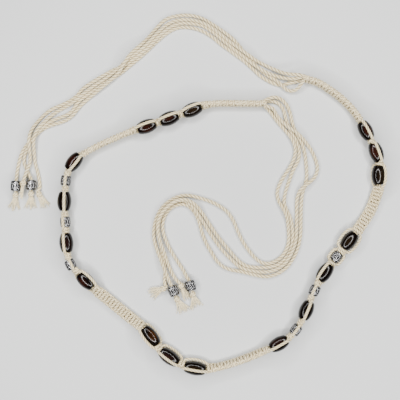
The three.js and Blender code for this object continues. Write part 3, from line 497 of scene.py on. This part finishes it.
def add_cord(shells, points, diameter, step):
    """Adds a twisted cord along a path, with its grooves marked for the painted shade in them."""
    path, = resample(points, step)
    along = lengths_along(path)
    sides = PLIES * PLY_SIDES
    angle = 2 * np.pi * np.arange(sides) / sides
    lobe = 2 * np.pi / PLIES
    from_ply = (angle + lobe / 2) % lobe - lobe / 2
    ply = PLY_OFFSET * np.cos(from_ply)
    ply += np.sqrt(np.maximum(PLY_RADIUS ** 2 - (PLY_OFFSET * np.sin(from_ply)) ** 2, 0))
    turn = 2 * np.pi * along / (PLY_PITCH * diameter)
    rings = tube_rings(path, diameter / 2 * ply[None, :], angle[None, :] + turn[:, None])
    around = diameter * np.pi * np.arange(sides + 1) / sides
    # Groove depth between the plies, which the cotton material darkens as painted shade
    grooves = np.tile((1 - ply) / (1 - ply.min()), (len(path), 1))
    shells.add(rings, along, around, grooves)
    return path


# Knots

# Half knots: how sharply a bar turns down at the edge, how far it dips behind the band there, how
# much of its way along the band it makes at the edges, and how flat its swing is towards them
EDGE_SHARPNESS = 4
EDGE_DIP = 0.55
BAR_STRAIGHTNESS = 0.32
BAR_FLATNESS = 1.5

# Points for each half knot, points for each one of a small knot, and the share of a half knot by
# which a small knot starts late and stops early
BAR_STEPS = 9
SMALL_BAR_STEPS = 6
SMALL_KNOT_INSET = 0.1

# Filler cords in a band: points, and each one's place as a share of its diameter
FILLER_POINTS = 40
FILLER_PLACE = 0.55


def bar_reach(across):
    """Flattened swing from edge to edge."""
    return np.tanh(BAR_FLATNESS * across) / np.tanh(BAR_FLATNESS)


def weave(start, pitch, count, lane, front, wide, thick, from_turn, to_turn, steps=BAR_STEPS):
    """Way of one working cord through count half knots. lane is its side at the start, 1 for the
    outer one, and front tells whether it crosses on the front of the knots or on their back."""
    turns = np.linspace(from_turn, to_turn, max(int(round((to_turn - from_turn) * steps)), 2) + 1)
    across = np.cos(np.pi * turns)
    edge = np.abs(across) ** EDGE_SHARPNESS
    face = 1 - (1 + EDGE_DIP) * edge
    forward = turns + BAR_STRAIGHTNESS * np.sin(2 * np.pi * turns) / np.pi
    return [in_section(start + pitch * f, lane * wide * bar_reach(a), (1 if front else -1) * thick * w)
            for f, a, w in zip(forward, across, face)]


def make_band(piece, number):
    """Band of square knots: two working cords wrapped round two straight filler cords."""
    shells = Shells()
    count = int(round(piece["length"] / HALF_KNOT))
    pitch = piece["length"] / count
    wide = (BAND_WIDTH - WORKING_D) / 2
    thick = (BAND_THICKNESS - WORKING_D) / 2
    for lane, front in ((-1, True), (1, False)):
        line = weave(piece["start"], pitch, count, lane, front, wide, thick, 0.0, count)
        add_cord(shells, np.array(line), WORKING_D, WORKING_STEP)
    stations = np.linspace(piece["start"] - LEAD / 2, piece["end"] + LEAD / 2, FILLER_POINTS)
    for side in (-1, 1):
        line = [in_section(s, side * FILLER_D * FILLER_PLACE, 0) for s in stations]
        add_cord(shells, np.array(line), FILLER_D, FILLER_STEP)
    return shells.build(f"band_{number}_knots", cotton, [f"knotted_band_{number}"])


def beside_bead(piece, share, lane, offset):
    place = belt_at(piece["middle"])
    point = place["point"] + place["way"] * share * piece["length"] / 2
    return point + direction(place, place["outer" if lane > 0 else "inner"]) * offset


def working_line(run, start, end, lane, front):
    """Way of one working cord along a run: past each bead and through each small knot."""
    wide = (KNOT_WIDTH - OUTER_D) / 2
    thick = (KNOT_THICKNESS - OUTER_D) / 2
    band_wide = (BAND_WIDTH - WORKING_D) / 2
    line = [in_section(start, lane * band_wide, 0)]
    for piece in run:
        if piece["kind"] == "knot":
            count = max(int(round(piece["length"] / HALF_KNOT)), 1)
            pitch = piece["length"] / count
            line += weave(piece["start"], pitch, count, lane, front, wide, thick,
                          SMALL_KNOT_INSET, count - SMALL_KNOT_INSET, SMALL_BAR_STEPS)
            lane *= -1 if count % 2 else 1
            continue
        full, ends = (radius + OUTER_D / 2 - BEDDING for radius in bead_radii(piece))
        near = ends + (full - ends) * SHOULDER_RISE
        line += [beside_bead(piece, share, lane, offset) for share, offset in
                 ((-1, near), (-FLAT_SHARE, full), (FLAT_SHARE, full), (1, near))]
    line.append(in_section(end, lane * band_wide, 0))
    return smooth_path(line)[0]


def make_run(run, number):
    """Cords of a run of beads: two working cords, and two filler cords through the beads."""
    shells = Shells()
    start, end = run[0]["start"] - RUN_REACH, run[-1]["end"] + RUN_REACH
    for lane, front in ((1, True), (-1, False)):
        add_cord(shells, working_line(run, start, end, lane, front), OUTER_D, WORKING_STEP)
    for side in (-1, 1):
        line = [in_section(start, side * FILLER_D / 2, 0)]
        for piece in filter(is_bead, run):
            place = belt_at(piece["middle"])
            across = direction(place, roll_at(place))
            line += [place["point"] + place["way"] * share * piece["length"] / 2
                     + across * side * FILLER_D / 2 for share in (-1, 0, 1)]
        line.append(in_section(end, side * FILLER_D / 2, 0))
        add_cord(shells, smooth_path(line)[0], FILLER_D, FILLER_STEP)
    return shells.build(f"run_{number}_cords", cotton, [f"beaded_run_cords_{number}"])


# Beads

# Meshes of the beads: sides, steps along the outside, how full their bodies are, and the rounding
# at the mouths of their bores
WOOD_SIDES = 56
WOOD_STEPS = 34
WOOD_CROWN = 0.9
WOOD_ROUNDING = 0.45 * MM
METAL_SIDES = 120
METAL_STEPS = 58
METAL_CROWN = 0.34
METAL_ROUNDING = 0.3 * MM
ROUND_STEPS = 5
BORE_STEPS = 9
BORE_REACH = 0.8
WELD_GAP = 0.001 * MM

# Painted light on a wooden bead: its upper side is painted lighter, as if lit from above, and its
# streaks show there. Its greatest tilt from the top in degrees, how far the tilt moves on from bead to
# bead, and the streaks' share in its edge
PAINTED_LIGHT_TILT = 20
PAINTED_LIGHT_TURN = 2.4
STREAK_SHARE = 0.7


def bead_profile(length, middle, end, bore, crown, rounding, steps):
    """Half section of a bead from bore to bore: places along the axis and radii."""
    along = np.sin(np.linspace(-np.pi / 2, np.pi / 2, steps))
    half = length / 2
    body = end + (middle - end) * (1 - along ** 2) ** crown
    corner = np.linspace(0, np.pi / 2, ROUND_STEPS)
    mouth = [(half - rounding * (1 - np.cos(t)), end - rounding * (1 - np.sin(t))) for t in corner]
    inner = bore + rounding
    lip = [(half - rounding * (1 - np.cos(t)), inner - rounding * np.sin(t)) for t in corner]
    inside = [(share * half, bore) for share in np.linspace(BORE_REACH, -BORE_REACH, BORE_STEPS)]
    right = [*mouth[::-1], *lip]
    left = [(-x, r) for x, r in right[::-1]]
    keep = np.abs(along) < 1 - 2 * rounding / length
    outside = list(zip((along * half)[keep], body[keep]))
    return np.array([*outside, *right, *inside, *left])


def turned(profile, sides, place, relief=0.0):
    """Rings of a body of revolution round the place's way, its profile being a closed loop."""
    angle = 2 * np.pi * np.arange(sides) / sides
    along, radius = profile[:, 0], np.repeat(profile[:, 1:], sides, axis=1) + relief
    out, top = place["out"], np.cross(place["way"], place["out"])
    rings = place["point"] + along[:, None, None] * place["way"]
    rings = rings + radius[..., None] * (np.cos(angle)[:, None] * out + np.sin(angle)[:, None] * top)
    return np.concatenate([rings, rings[:1]])


def add_bead(shells, profile, sides, place, mark, relief=0.0):
    rings = turned(profile, sides, place, relief)
    spread = lengths_along(np.vstack([profile, profile[:1]]))
    around = profile[:, 1].max() * 2 * np.pi * np.arange(sides + 1) / sides
    shells.add(rings, spread, around, np.vstack([mark, mark[:1]]), capped=False)


def weld(obj):
    """Joins the two copies of a closed profile's first ring."""
    modifier = obj.modifiers.new("weld", "WELD")
    modifier.merge_threshold = WELD_GAP
    return obj


def make_wood_bead(piece, number):
    """Turned bead. Its mark tells how far each point lies towards the bead's upper side, which its
    material paints lighter as painted light.
    """
    shells = Shells()
    middle, end = bead_radii(piece)
    place = belt_at(piece["middle"])
    profile = bead_profile(piece["length"], middle, end, BORE_D / 2, WOOD_CROWN,
                           WOOD_ROUNDING, WOOD_STEPS)
    rings = turned(profile, WOOD_SIDES, place) - place["point"]
    # Painted light: the mark grows towards a side tilted a little from the top, so each bead's top is
    # painted lighter
    tilt = np.radians(PAINTED_LIGHT_TILT * np.sin(PAINTED_LIGHT_TURN * number))
    facing = UP * np.cos(tilt) + place["out"] * np.sin(tilt)
    add_bead(shells, profile, WOOD_SIDES, place, rings[:-1] @ facing / middle - STREAK_SHARE / 2)
    name = f"wood_bead_{number}"
    return weld(shells.build(f"{name}_turned", wood_for(number), [name]))


# Relief of a metal bead: two rims, ovals round it with a scroll in each, and studs between them
RELIEF = 0.36 * MM
RIM_AT = 0.84
RIM_EDGE = 0.04
OVALS = 4
OVAL_HALF = (2.75 * MM, 3.35 * MM)
OVAL_LINE = 0.42 * MM
SCROLL_LINE = 0.46 * MM
SCROLL_TURNS = 1.55
SCROLL_START = 0.16 * MM
SCROLL_GROWTH = 0.098 * MM
SCROLL_AT = 1.2 * MM
SCROLL_POINTS = 50
BRIDGE_POINTS = 12
STUD_RADIUS = 0.85 * MM
STUD_AT = 2.4 * MM
BORE_MARGIN = 0.01 * MM


def scroll_line():
    """One S-shaped scroll in its own oval, across and along the bead."""
    turn = np.linspace(0, SCROLL_TURNS * 2 * np.pi, SCROLL_POINTS)
    radius = SCROLL_START + SCROLL_GROWTH * turn
    arm = np.column_stack([radius * np.sin(turn), radius * np.cos(turn) - SCROLL_AT])
    bridge = np.linspace(arm[-1], -arm[-1], BRIDGE_POINTS)
    return np.vstack([arm, bridge, -arm])


def is_outside(profile):
    """Tells the points on a metal bead's outside from those in its bore."""
    return profile[:, 1:] > METAL_END_D / 2 - BORE_MARGIN


def metal_relief(profile, sides):
    """Height of the raised work over the recesses, from 0 to 1, at each point of the bead."""
    reach = METAL_D / 2
    angle = 2 * np.pi * np.arange(sides) / sides
    share = np.abs(profile[:, :1]) / (METAL_LENGTH / 2)
    rim = np.clip((share - RIM_AT) / RIM_EDGE, 0, 1) * np.ones((1, sides))
    cell = 2 * np.pi / OVALS
    across = ((angle + cell / 2) % cell - cell / 2)[None, :] * reach
    oval = np.hypot(across / OVAL_HALF[0], profile[:, :1] / OVAL_HALF[1])
    frame_gap = np.abs(oval - 1) * OVAL_HALF[0]
    ring = np.sqrt(np.clip(1 - (frame_gap / OVAL_LINE) ** 2, 0, 1))
    spots = np.stack(np.broadcast_arrays(across, profile[:, :1]), axis=-1)
    gaps = np.linalg.norm(spots[:, :, None, :] - scroll_line()[None, None], axis=-1).min(axis=2)
    scroll = np.sqrt(np.clip(1 - (gaps / SCROLL_LINE) ** 2, 0, 1)) * (oval < 1)
    between = np.minimum(np.abs(across - cell / 2 * reach), np.abs(across + cell / 2 * reach))
    stud_gap = np.hypot(between, share * METAL_LENGTH / 2 - STUD_AT) / STUD_RADIUS
    stud = np.sqrt(np.clip(1 - stud_gap ** 2, 0, 1))
    return np.maximum.reduce([rim, ring, scroll, stud]) * is_outside(profile)


def make_metal_bead(name, place, bore):
    shells = Shells()
    profile = bead_profile(METAL_LENGTH, METAL_D / 2, METAL_END_D / 2, bore, METAL_CROWN,
                           METAL_ROUNDING, METAL_STEPS)
    height = metal_relief(profile, METAL_SIDES)
    relief = (height - 1) * RELIEF * is_outside(profile)
    add_bead(shells, profile, METAL_SIDES, place, 1 - height, relief)
    return weld(shells.build(f"{name}_cast", metal, [name]))


# Free cords

def cord_exit(name):
    """Where a free cord leaves the belt's end face."""
    first = name.startswith("a")
    place = belt_at(pieces[0]["start"] if first else pieces[-1]["end"])
    way = place["way"] * (-1 if first else 1)
    outwards, upwards = FREE_CORDS[name]["exit"]
    return place["point"] - way * CORD_D / 2 + place["out"] * outwards + UP * upwards


def cord_stop(name):
    """Where a free cord stops, a gap before its bead or knot."""
    end = CORD_ENDS[name]
    place = bead_seat(end) if "bead" in end else end_place(name)
    length = METAL_LENGTH if "bead" in end else END_KNOT_LENGTH
    return place["point"] - place["way"] * (length / 2 + GAP)


def flat_cord(name):
    """Samples of a free cord along its route, with the layer and the least height of each."""
    rows = FREE_CORDS[name]["route"]
    first, last = cord_exit(name), cord_stop(name)
    flat = [first[:2], *(np.array(row[:2]) + SHIFT for row in rows), last[:2]]
    layers = [rows[0][2], *(row[2] for row in rows), rows[-1][2]]
    path, at = smooth_path(flat)
    path, at = resample(path, CROSSING_STEP, at)
    layer = np.array(layers)[np.round(at).astype(int)]
    heights = np.full(len(path), CORD_D / 2)
    heights[0], heights[-1] = first[2], last[2]
    return dict(name=name, path=path, layer=layer, heights=heights)


def raise_crossings(cords):
    """Raises the cords where they meet until each lies clear over those of a lower layer."""
    owner = np.concatenate([[n] * len(cord["path"]) for n, cord in enumerate(cords)])
    spots = np.concatenate([cord["path"] for cord in cords])
    layer = np.concatenate([cord["layer"] for cord in cords])
    height = np.concatenate([cord["heights"] for cord in cords])
    held = height > CORD_D / 2
    apart = np.linalg.norm(spots[:, None] - spots[None], axis=2)
    above = (layer[:, None] > layer[None]) | (
        (layer[:, None] == layer[None]) & (owner[:, None] > owner[None]))
    over, under = np.nonzero((apart < CORD_D) & above & (owner[:, None] != owner[None]))
    rise = np.sqrt(CORD_D ** 2 - apart[over, under] ** 2)
    fall = CORD_SLOPE * np.linalg.norm(np.diff(spots, axis=0), axis=1)
    joined = owner[1:] == owner[:-1]
    for _ in range(RAISE_ROUNDS):
        before = height.copy()
        np.maximum.at(height, over, height[under] + rise)
        for n in np.nonzero(joined)[0]:
            height[n + 1] = max(height[n + 1], height[n] - fall[n])
        for n in np.nonzero(joined)[0][::-1]:
            height[n] = max(height[n], height[n + 1] - fall[n])
        height = np.where(held, before, height)
        if np.abs(height - before).max() < SETTLED:
            break
    ends = np.cumsum([0] + [len(cord["path"]) for cord in cords])
    for cord, low, high in zip(cords, ends, ends[1:]):
        cord["heights"] = height[low:high]


def soften(heights):
    """Rounds off the tops and feet of the humps."""
    for _ in range(SOFTENING):
        heights = np.concatenate([heights[:1], (heights[:-2] + 2 * heights[1:-1] + heights[2:]) / 4,
                                  heights[-1:]])
    return heights


def knot_middle(end):
    return np.array([*(np.array(end["knot"]) + SHIFT), END_KNOT_D / 2 + end.get("lift", 0)])


def bead_seat(end):
    """Place of the bead on a free cord, which points at the cord's knot."""
    spot = np.array(end["bead"])
    way = np.array([*unit(np.array(end["knot"]) - spot), 0.0])
    return dict(point=np.array([*(spot + SHIFT), METAL_D / 2]), way=way, out=np.cross(UP, way))


def cord_line(cord):
    """Whole path of a free cord, from inside the belt's end to the middle of its knot."""
    end = CORD_ENDS[cord["name"]]
    tail = [knot_middle(end)]
    if "bead" in end:
        seat = bead_seat(end)
        tail = [seat["point"], seat["point"] + seat["way"] * METAL_LENGTH / 2, *tail]
    return np.vstack([np.column_stack([cord["path"], soften(cord["heights"])]), tail])


def make_free_cord(cord):
    name = cord["name"]
    shells = Shells()
    path = add_cord(shells, cord_line(cord), CORD_D, CORD_STEP)
    obj = shells.build(f"cord_{name}", cotton, [f"free_cord_{name}"])
    return obj, path


# Knots and frayed tips at the ends of the free cords

# Frayed tips: strands, and the diameter, sides, points, thinning and sag of each
STRANDS = 30
STRAND_D = 0.72 * MM
STRAND_SIDES = 5
STRAND_POINTS = 9
STRAND_TIP = 0.55
STRAND_SAG = 1.2

# What each strand draws at random: its reach as shares of FRAY_LENGTH, its turn aside as a share
# of the tip's spread, its root's place, its tip's rise, and its wave's height, turn and start
REACH_SHARES = (0.8, 1.35)
TURN_ASIDE = 1.25
ROOT_SPREAD = 0.55 * MM
TIP_RISE = 1.6 * MM
WAVE_HEIGHT = (0.3 * MM, 0.9 * MM)
WAVE_TURN = (4, 9)
WAVE_START = (0, 6)


def end_place(name):
    end = CORD_ENDS[name]
    heading = np.radians(end["heading"])
    way = np.array([np.cos(heading), np.sin(heading), 0.0])
    return dict(point=knot_middle(end), way=way, out=np.cross(UP, way))


def from_place(place, along, across, upwards):
    """Points given along, across and above a place."""
    return (place["point"] + np.outer(along, place["way"]) + np.outer(across, place["out"])
            + np.outer(upwards, UP))


def add_overhand_knot(shells, place):
    """A tight overhand knot: a trefoil of cord whose axis is the cord's own."""
    turn = np.linspace(0, 2 * np.pi, KNOT_POINTS)
    size = (END_KNOT_D - KNOT_CORD_D) / 2 / 3
    across = size * (np.sin(turn) + 2 * np.sin(2 * turn))
    upwards = size * (np.cos(turn) - 2 * np.cos(2 * turn))
    along = -(END_KNOT_LENGTH - KNOT_CORD_D) / 2 * np.sin(3 * turn)
    add_cord(shells, from_place(place, along, across, upwards), KNOT_CORD_D, WORKING_STEP)


def add_strand(shells, place, end, random):
    """One bare strand of a frayed tip, from the knot out and down to the table."""
    share = np.linspace(0, 1, STRAND_POINTS)
    heading = np.radians(end["spread"] * TURN_ASIDE) * random.uniform(-1, 1)
    reach = FRAY_LENGTH * random.uniform(*REACH_SHARES)
    root = random.normal(0, ROOT_SPREAD, 2)
    floor = STRAND_D / 2 - place["point"][2] + random.uniform(0, TIP_RISE)
    low = -end["droop"] if "droop" in end else floor
    wave = random.uniform(*WAVE_HEIGHT) * np.sin(
        share * random.uniform(*WAVE_TURN) + random.uniform(*WAVE_START))
    along = reach * share * np.cos(heading)
    across = root[0] + reach * share * np.sin(heading) + wave * share
    upwards = root[1] * (1 - share) + low * share ** STRAND_SAG
    upwards = np.maximum(upwards, STRAND_D / 2 - place["point"][2])
    path = smooth_path(from_place(place, along, across, upwards), span=3)[0]
    angle = 2 * np.pi * np.arange(STRAND_SIDES) / STRAND_SIDES
    radius = STRAND_D / 2 * np.linspace(1, STRAND_TIP, len(path))
    rings = tube_rings(path, radius[:, None], angle[None, :])
    around = STRAND_D * np.pi * np.arange(STRAND_SIDES + 1) / STRAND_SIDES
    shells.add(rings, lengths_along(path), around, np.zeros(rings.shape[:2]))


def make_cord_end(name, number):
    shells = Shells()
    place = end_place(name)
    random = np.random.default_rng(number)
    add_overhand_knot(shells, place)
    for _ in range(STRANDS):
        add_strand(shells, place, CORD_ENDS[name], random)
    return shells.build(f"tied_end_{name}", cotton, [f"end_knot_{name}"])


# Materials

def new_material(name):
    material = bpy.data.materials.new(name)
    material.use_nodes = True
    tree = material.node_tree
    return material, tree, tree.nodes["Principled BSDF"]


def add_node(tree, kind, inputs=(), **settings):
    """New node, with its settings, and its inputs given as values or as other nodes' outputs."""
    node = tree.nodes.new(kind)
    for key, value in settings.items():
        setattr(node, key, value)
    for key, value in dict(inputs).items():
        if isinstance(value, bpy.types.NodeSocket):
            tree.links.new(value, node.inputs[key])
        else:
            node.inputs[key].default_value = value
    return node


def ramp(tree, factor, stops):
    node = add_node(tree, "ShaderNodeValToRGB", {"Fac": factor})
    elements = node.color_ramp.elements
    while len(elements) < len(stops):
        elements.new(0.5)
    for element, (position, colour) in zip(elements, stops):
        element.position = position
        element.color = (*colour, 1)
    return node.outputs["Color"]


def mix(tree, factor, a, b, blend="MIX"):
    node = add_node(tree, "ShaderNodeMix", data_type="RGBA", blend_type=blend)
    for socket, value in ((node.inputs[0], factor), (node.inputs[6], a), (node.inputs[7], b)):
        if isinstance(value, bpy.types.NodeSocket):
            tree.links.new(value, socket)
        else:
            socket.default_value = value if socket == node.inputs[0] else (*value, 1)
    return node.outputs[2]


def pattern_coords(tree, scale, turn=0.0, location=(0, 0, 0)):
    """The cord's or bead's own pattern coordinates, turned and stretched."""
    coords = add_node(tree, "ShaderNodeUVMap", uv_map="pattern").outputs["UV"]
    mapping = add_node(tree, "ShaderNodeMapping", {
        "Vector": coords, "Scale": scale, "Rotation": (0, 0, turn), "Location": location})
    return mapping.outputs["Vector"]


def noise(tree, vector, scale=1.0, detail=4.0, roughness=0.6, distortion=0.0):
    node = add_node(tree, "ShaderNodeTexNoise", {
        "Vector": vector, "Scale": scale, "Detail": detail, "Roughness": roughness,
        "Distortion": distortion})
    return node.outputs["Fac"]


def object_coords(tree):
    return add_node(tree, "ShaderNodeTexCoord").outputs["Object"]


def mark_of(tree):
    """The value that each point of a mesh carries."""
    return add_node(tree, "ShaderNodeAttribute", attribute_name="mark").outputs["Fac"]


def add_bump(tree, shader, height, strength, distance):
    bump = add_node(tree, "ShaderNodeBump", {
        "Height": height, "Strength": strength, "Distance": distance})
    tree.links.new(bump.outputs["Normal"], shader.inputs["Normal"])


# Cotton: its tones, the scales of its fibres and blotches, and the angle at which its fibres run
COTTON_LIGHT = (0.96, 0.88, 0.64)
COTTON_SHADE = (0.89, 0.79, 0.52)
COTTON_FIBRE = (0.62, 0.50, 0.27)
# Painted shade: the darker colour laid into the grooves between the plies
COTTON_GROOVE_SHADE = (0.30, 0.22, 0.10)
FIBRE_SCALE = (9000, 900, 1)
FIBRE_TURN = -0.55
BLOTCH_SCALE = 90


def make_cotton():
    """Matt unbleached cotton: fine fibres along each ply, painted shade in the grooves between the
    plies, and soft blotches.
    """
    material, tree, shader = new_material("cotton_cord")
    fibres = noise(tree, pattern_coords(tree, FIBRE_SCALE, turn=FIBRE_TURN), detail=3.0)
    blotches = noise(tree, object_coords(tree), scale=BLOTCH_SCALE, roughness=0.55)
    fibre_share = ramp(tree, fibres, [(0.3, (0.9,) * 3), (0.65, (0, 0, 0))])
    # Painted shade: the grooves between the plies are darkened by their mark
    groove_shade_share = ramp(tree, mark_of(tree), [(0.3, (0, 0, 0)), (1.0, (0.85,) * 3)])
    tone = ramp(tree, blotches, [(0.3, COTTON_SHADE), (0.7, COTTON_LIGHT)])
    tone = mix(tree, fibre_share, tone, COTTON_FIBRE)
    tone = mix(tree, groove_shade_share, tone, COTTON_GROOVE_SHADE)
    tree.links.new(tone, shader.inputs["Base Color"])
    add_bump(tree, shader, fibres, strength=0.5, distance=0.25 * MM)
    shader.inputs["Roughness"].default_value = 0.92
    shader.inputs["Specular IOR Level"].default_value = 0.25
    shader.inputs["Sheen Weight"].default_value = 0.25
    shader.inputs["Sheen Roughness"].default_value = 0.5
    return material


# Wood: nearly black, with streaks of one of these tones in each bead
WOOD_DARK = (0.0025, 0.0013, 0.001)
WOOD_TONES = {
    "black": (0.004, 0.002, 0.0015), "umber": (0.011, 0.006, 0.0025),
    "plum": (0.013, 0.005, 0.004), "red": (0.019, 0.005, 0.003), "amber": (0.040, 0.014, 0.003),
}
BEAD_TONES = [
    "red", "red", "umber", "umber", "black", "black", "plum", "umber", "plum", "amber", "red",
    "plum", "umber", "red", "red", "red", "umber",
]
STREAK_SCALE = (170, 45, 1)
GRAIN_SCALE = (2200, 130, 1)


def wood_for(number):
    """Polished wood, nearly black, with long streaks of the bead's own tone, and painted light: the
    streaks show on the bead's upper side, which is painted lighter.
    """
    material, tree, shader = new_material(f"polished_wood_{number}")
    streaks = noise(tree, pattern_coords(tree, STREAK_SCALE, location=(7.3 * number, 3.1 * number, 0)),
                    detail=3.0, roughness=0.5, distortion=0.6)
    grain = noise(tree, pattern_coords(tree, GRAIN_SCALE, location=(2.7 * number, 5.9 * number, 0)))
    # Painted light: the mark adds to the streaks towards the bead's top, so the top takes the lighter
    # tone
    share = add_node(tree, "ShaderNodeMath", {0: streaks, 1: STREAK_SHARE, 2: mark_of(tree)},
                     operation="MULTIPLY_ADD").outputs["Value"]
    colour = ramp(tree, share, [(0.0, WOOD_DARK), (0.80, WOOD_DARK),
                                (1.0, WOOD_TONES[BEAD_TONES[number - 1]])])
    pores = ramp(tree, grain, [(0.36, (0.35,) * 3), (0.64, (1.5,) * 3)])
    colour = mix(tree, 1.0, colour, pores, blend="MULTIPLY")
    tree.links.new(colour, shader.inputs["Base Color"])
    add_bump(tree, shader, grain, strength=0.06, distance=0.2 * MM)
    shader.inputs["Roughness"].default_value = 0.15
    shader.inputs["Specular IOR Level"].default_value = 0.28
    return material


# Metal: silver where it is rubbed and where it is dull, and the tarnish in the recesses
SILVER_HIGH = (0.42, 0.42, 0.43)
SILVER_LOW = (0.16, 0.165, 0.175)
TARNISH = (0.03, 0.03, 0.032)
WEAR_SCALE = 700


def make_metal():
    """Antiqued silver-coloured metal: bright raised work over tarnished recesses."""
    material, tree, shader = new_material("antique_silver")
    recess = mark_of(tree)
    wear = noise(tree, object_coords(tree), scale=WEAR_SCALE)
    silver = ramp(tree, wear, [(0.3, SILVER_LOW), (0.55, SILVER_HIGH)])
    dark = ramp(tree, recess, [(0.25, (0, 0, 0)), (0.8, (1, 1, 1))])
    tree.links.new(mix(tree, dark, silver, TARNISH), shader.inputs["Base Color"])
    rough = ramp(tree, recess, [(0.1, (0.26,) * 3), (0.9, (0.7,) * 3)])
    tree.links.new(rough, shader.inputs["Roughness"])
    add_bump(tree, shader, wear, strength=0.25, distance=0.2 * MM)
    shader.inputs["Metallic"].default_value = 1.0
    return material


# Camera, floor and light

def make_camera():
    camera = new_object("camera", bpy.data.cameras.new("camera"))
    camera.data.sensor_width = SENSOR
    camera.data.lens = SENSOR * CAMERA_HEIGHT / PICTURE_WIDTH
    camera.data.clip_end = 20
    camera.location = (*(np.array(PICTURE_CENTRE) + SHIFT), CAMERA_HEIGHT + WOOD_D / 2)
    bpy.context.scene.camera = camera


FLOOR_COLOUR = (0.62, 0.64, 0.65)
FLOOR_HALF = 4.0


def make_floor():
    mesh = bpy.data.meshes.new("floor")
    corners = [(x * FLOOR_HALF, y * FLOOR_HALF, 0) for x, y in ((-1, -1), (1, -1), (1, 1), (-1, 1))]
    mesh.from_pydata(corners, [], [(0, 1, 2, 3)])
    material, _, shader = new_material("floor")
    shader.inputs["Base Color"].default_value = (*FLOOR_COLOUR, 1)
    shader.inputs["Roughness"].default_value = 0.6
    mesh.materials.append(material)
    new_object("floor", mesh)


# A ring of lights close over the belt, facing down, and a weak even sky. The ring's reflection
# shows as an oval on each bead.
RING_LIGHTS = 32
RING_RADIUS = 0.29
RING_HEIGHT = 0.34
RING_WIDTH = 0.05
RING_POWER = 9.0
RING_COLOUR = (1.0, 0.98, 0.955)
SKY = (0.93, 0.96, 1.0)
SKY_STRENGTH = 0.03


def make_lights():
    for n in range(RING_LIGHTS):
        turn = 2 * np.pi * n / RING_LIGHTS
        data = bpy.data.lights.new(f"ring_light_{n + 1}", "AREA")
        data.shape = "DISK"
        data.size = RING_WIDTH
        data.energy = RING_POWER / RING_LIGHTS
        data.color = RING_COLOUR
        lamp = new_object(data.name, data)
        lamp.location = (RING_RADIUS * np.cos(turn), RING_RADIUS * np.sin(turn), RING_HEIGHT)
    world = bpy.data.worlds.new("sky")
    world.use_nodes = True
    background = world.node_tree.nodes["Background"]
    background.inputs["Color"].default_value = (*SKY, 1)
    background.inputs["Strength"].default_value = SKY_STRENGTH
    bpy.context.scene.world = world


# The scene

make_camera()
cotton = make_cotton()
metal = make_metal()

cords = [flat_cord(name) for name in FREE_CORDS]
raise_crossings(cords)
for number, cord in enumerate(cords):
    name = cord["name"]
    tube, path = make_free_cord(cord)
    on_it = [make_cord_end(name, number)]
    if "bead" in CORD_ENDS[name]:
        seat = bead_seat(CORD_ENDS[name])
        on_it.append(make_metal_bead(f"cord_bead_{name}", seat, CORD_D / 2 + GAP))

make_floor()
make_lights()

counts = dict(band=0, wood=0, metal=0, run=0)
run = []
for n, piece in enumerate(pieces):
    if piece["kind"] == "band":
        counts["band"] += 1
        make_band(piece, counts["band"])
        continue
    run.append(piece)
    if is_bead(piece):
        counts[piece["kind"]] += 1
    if piece["kind"] == "wood":
        make_wood_bead(piece, counts["wood"])
    if piece["kind"] == "metal":
        make_metal_bead(f"metal_bead_{counts['metal']}", belt_at(piece["middle"]), BORE_D / 2)
    if pieces[n + 1]["kind"] == "band":
        counts["run"] += 1
        make_run(run, counts["run"])
        run = []
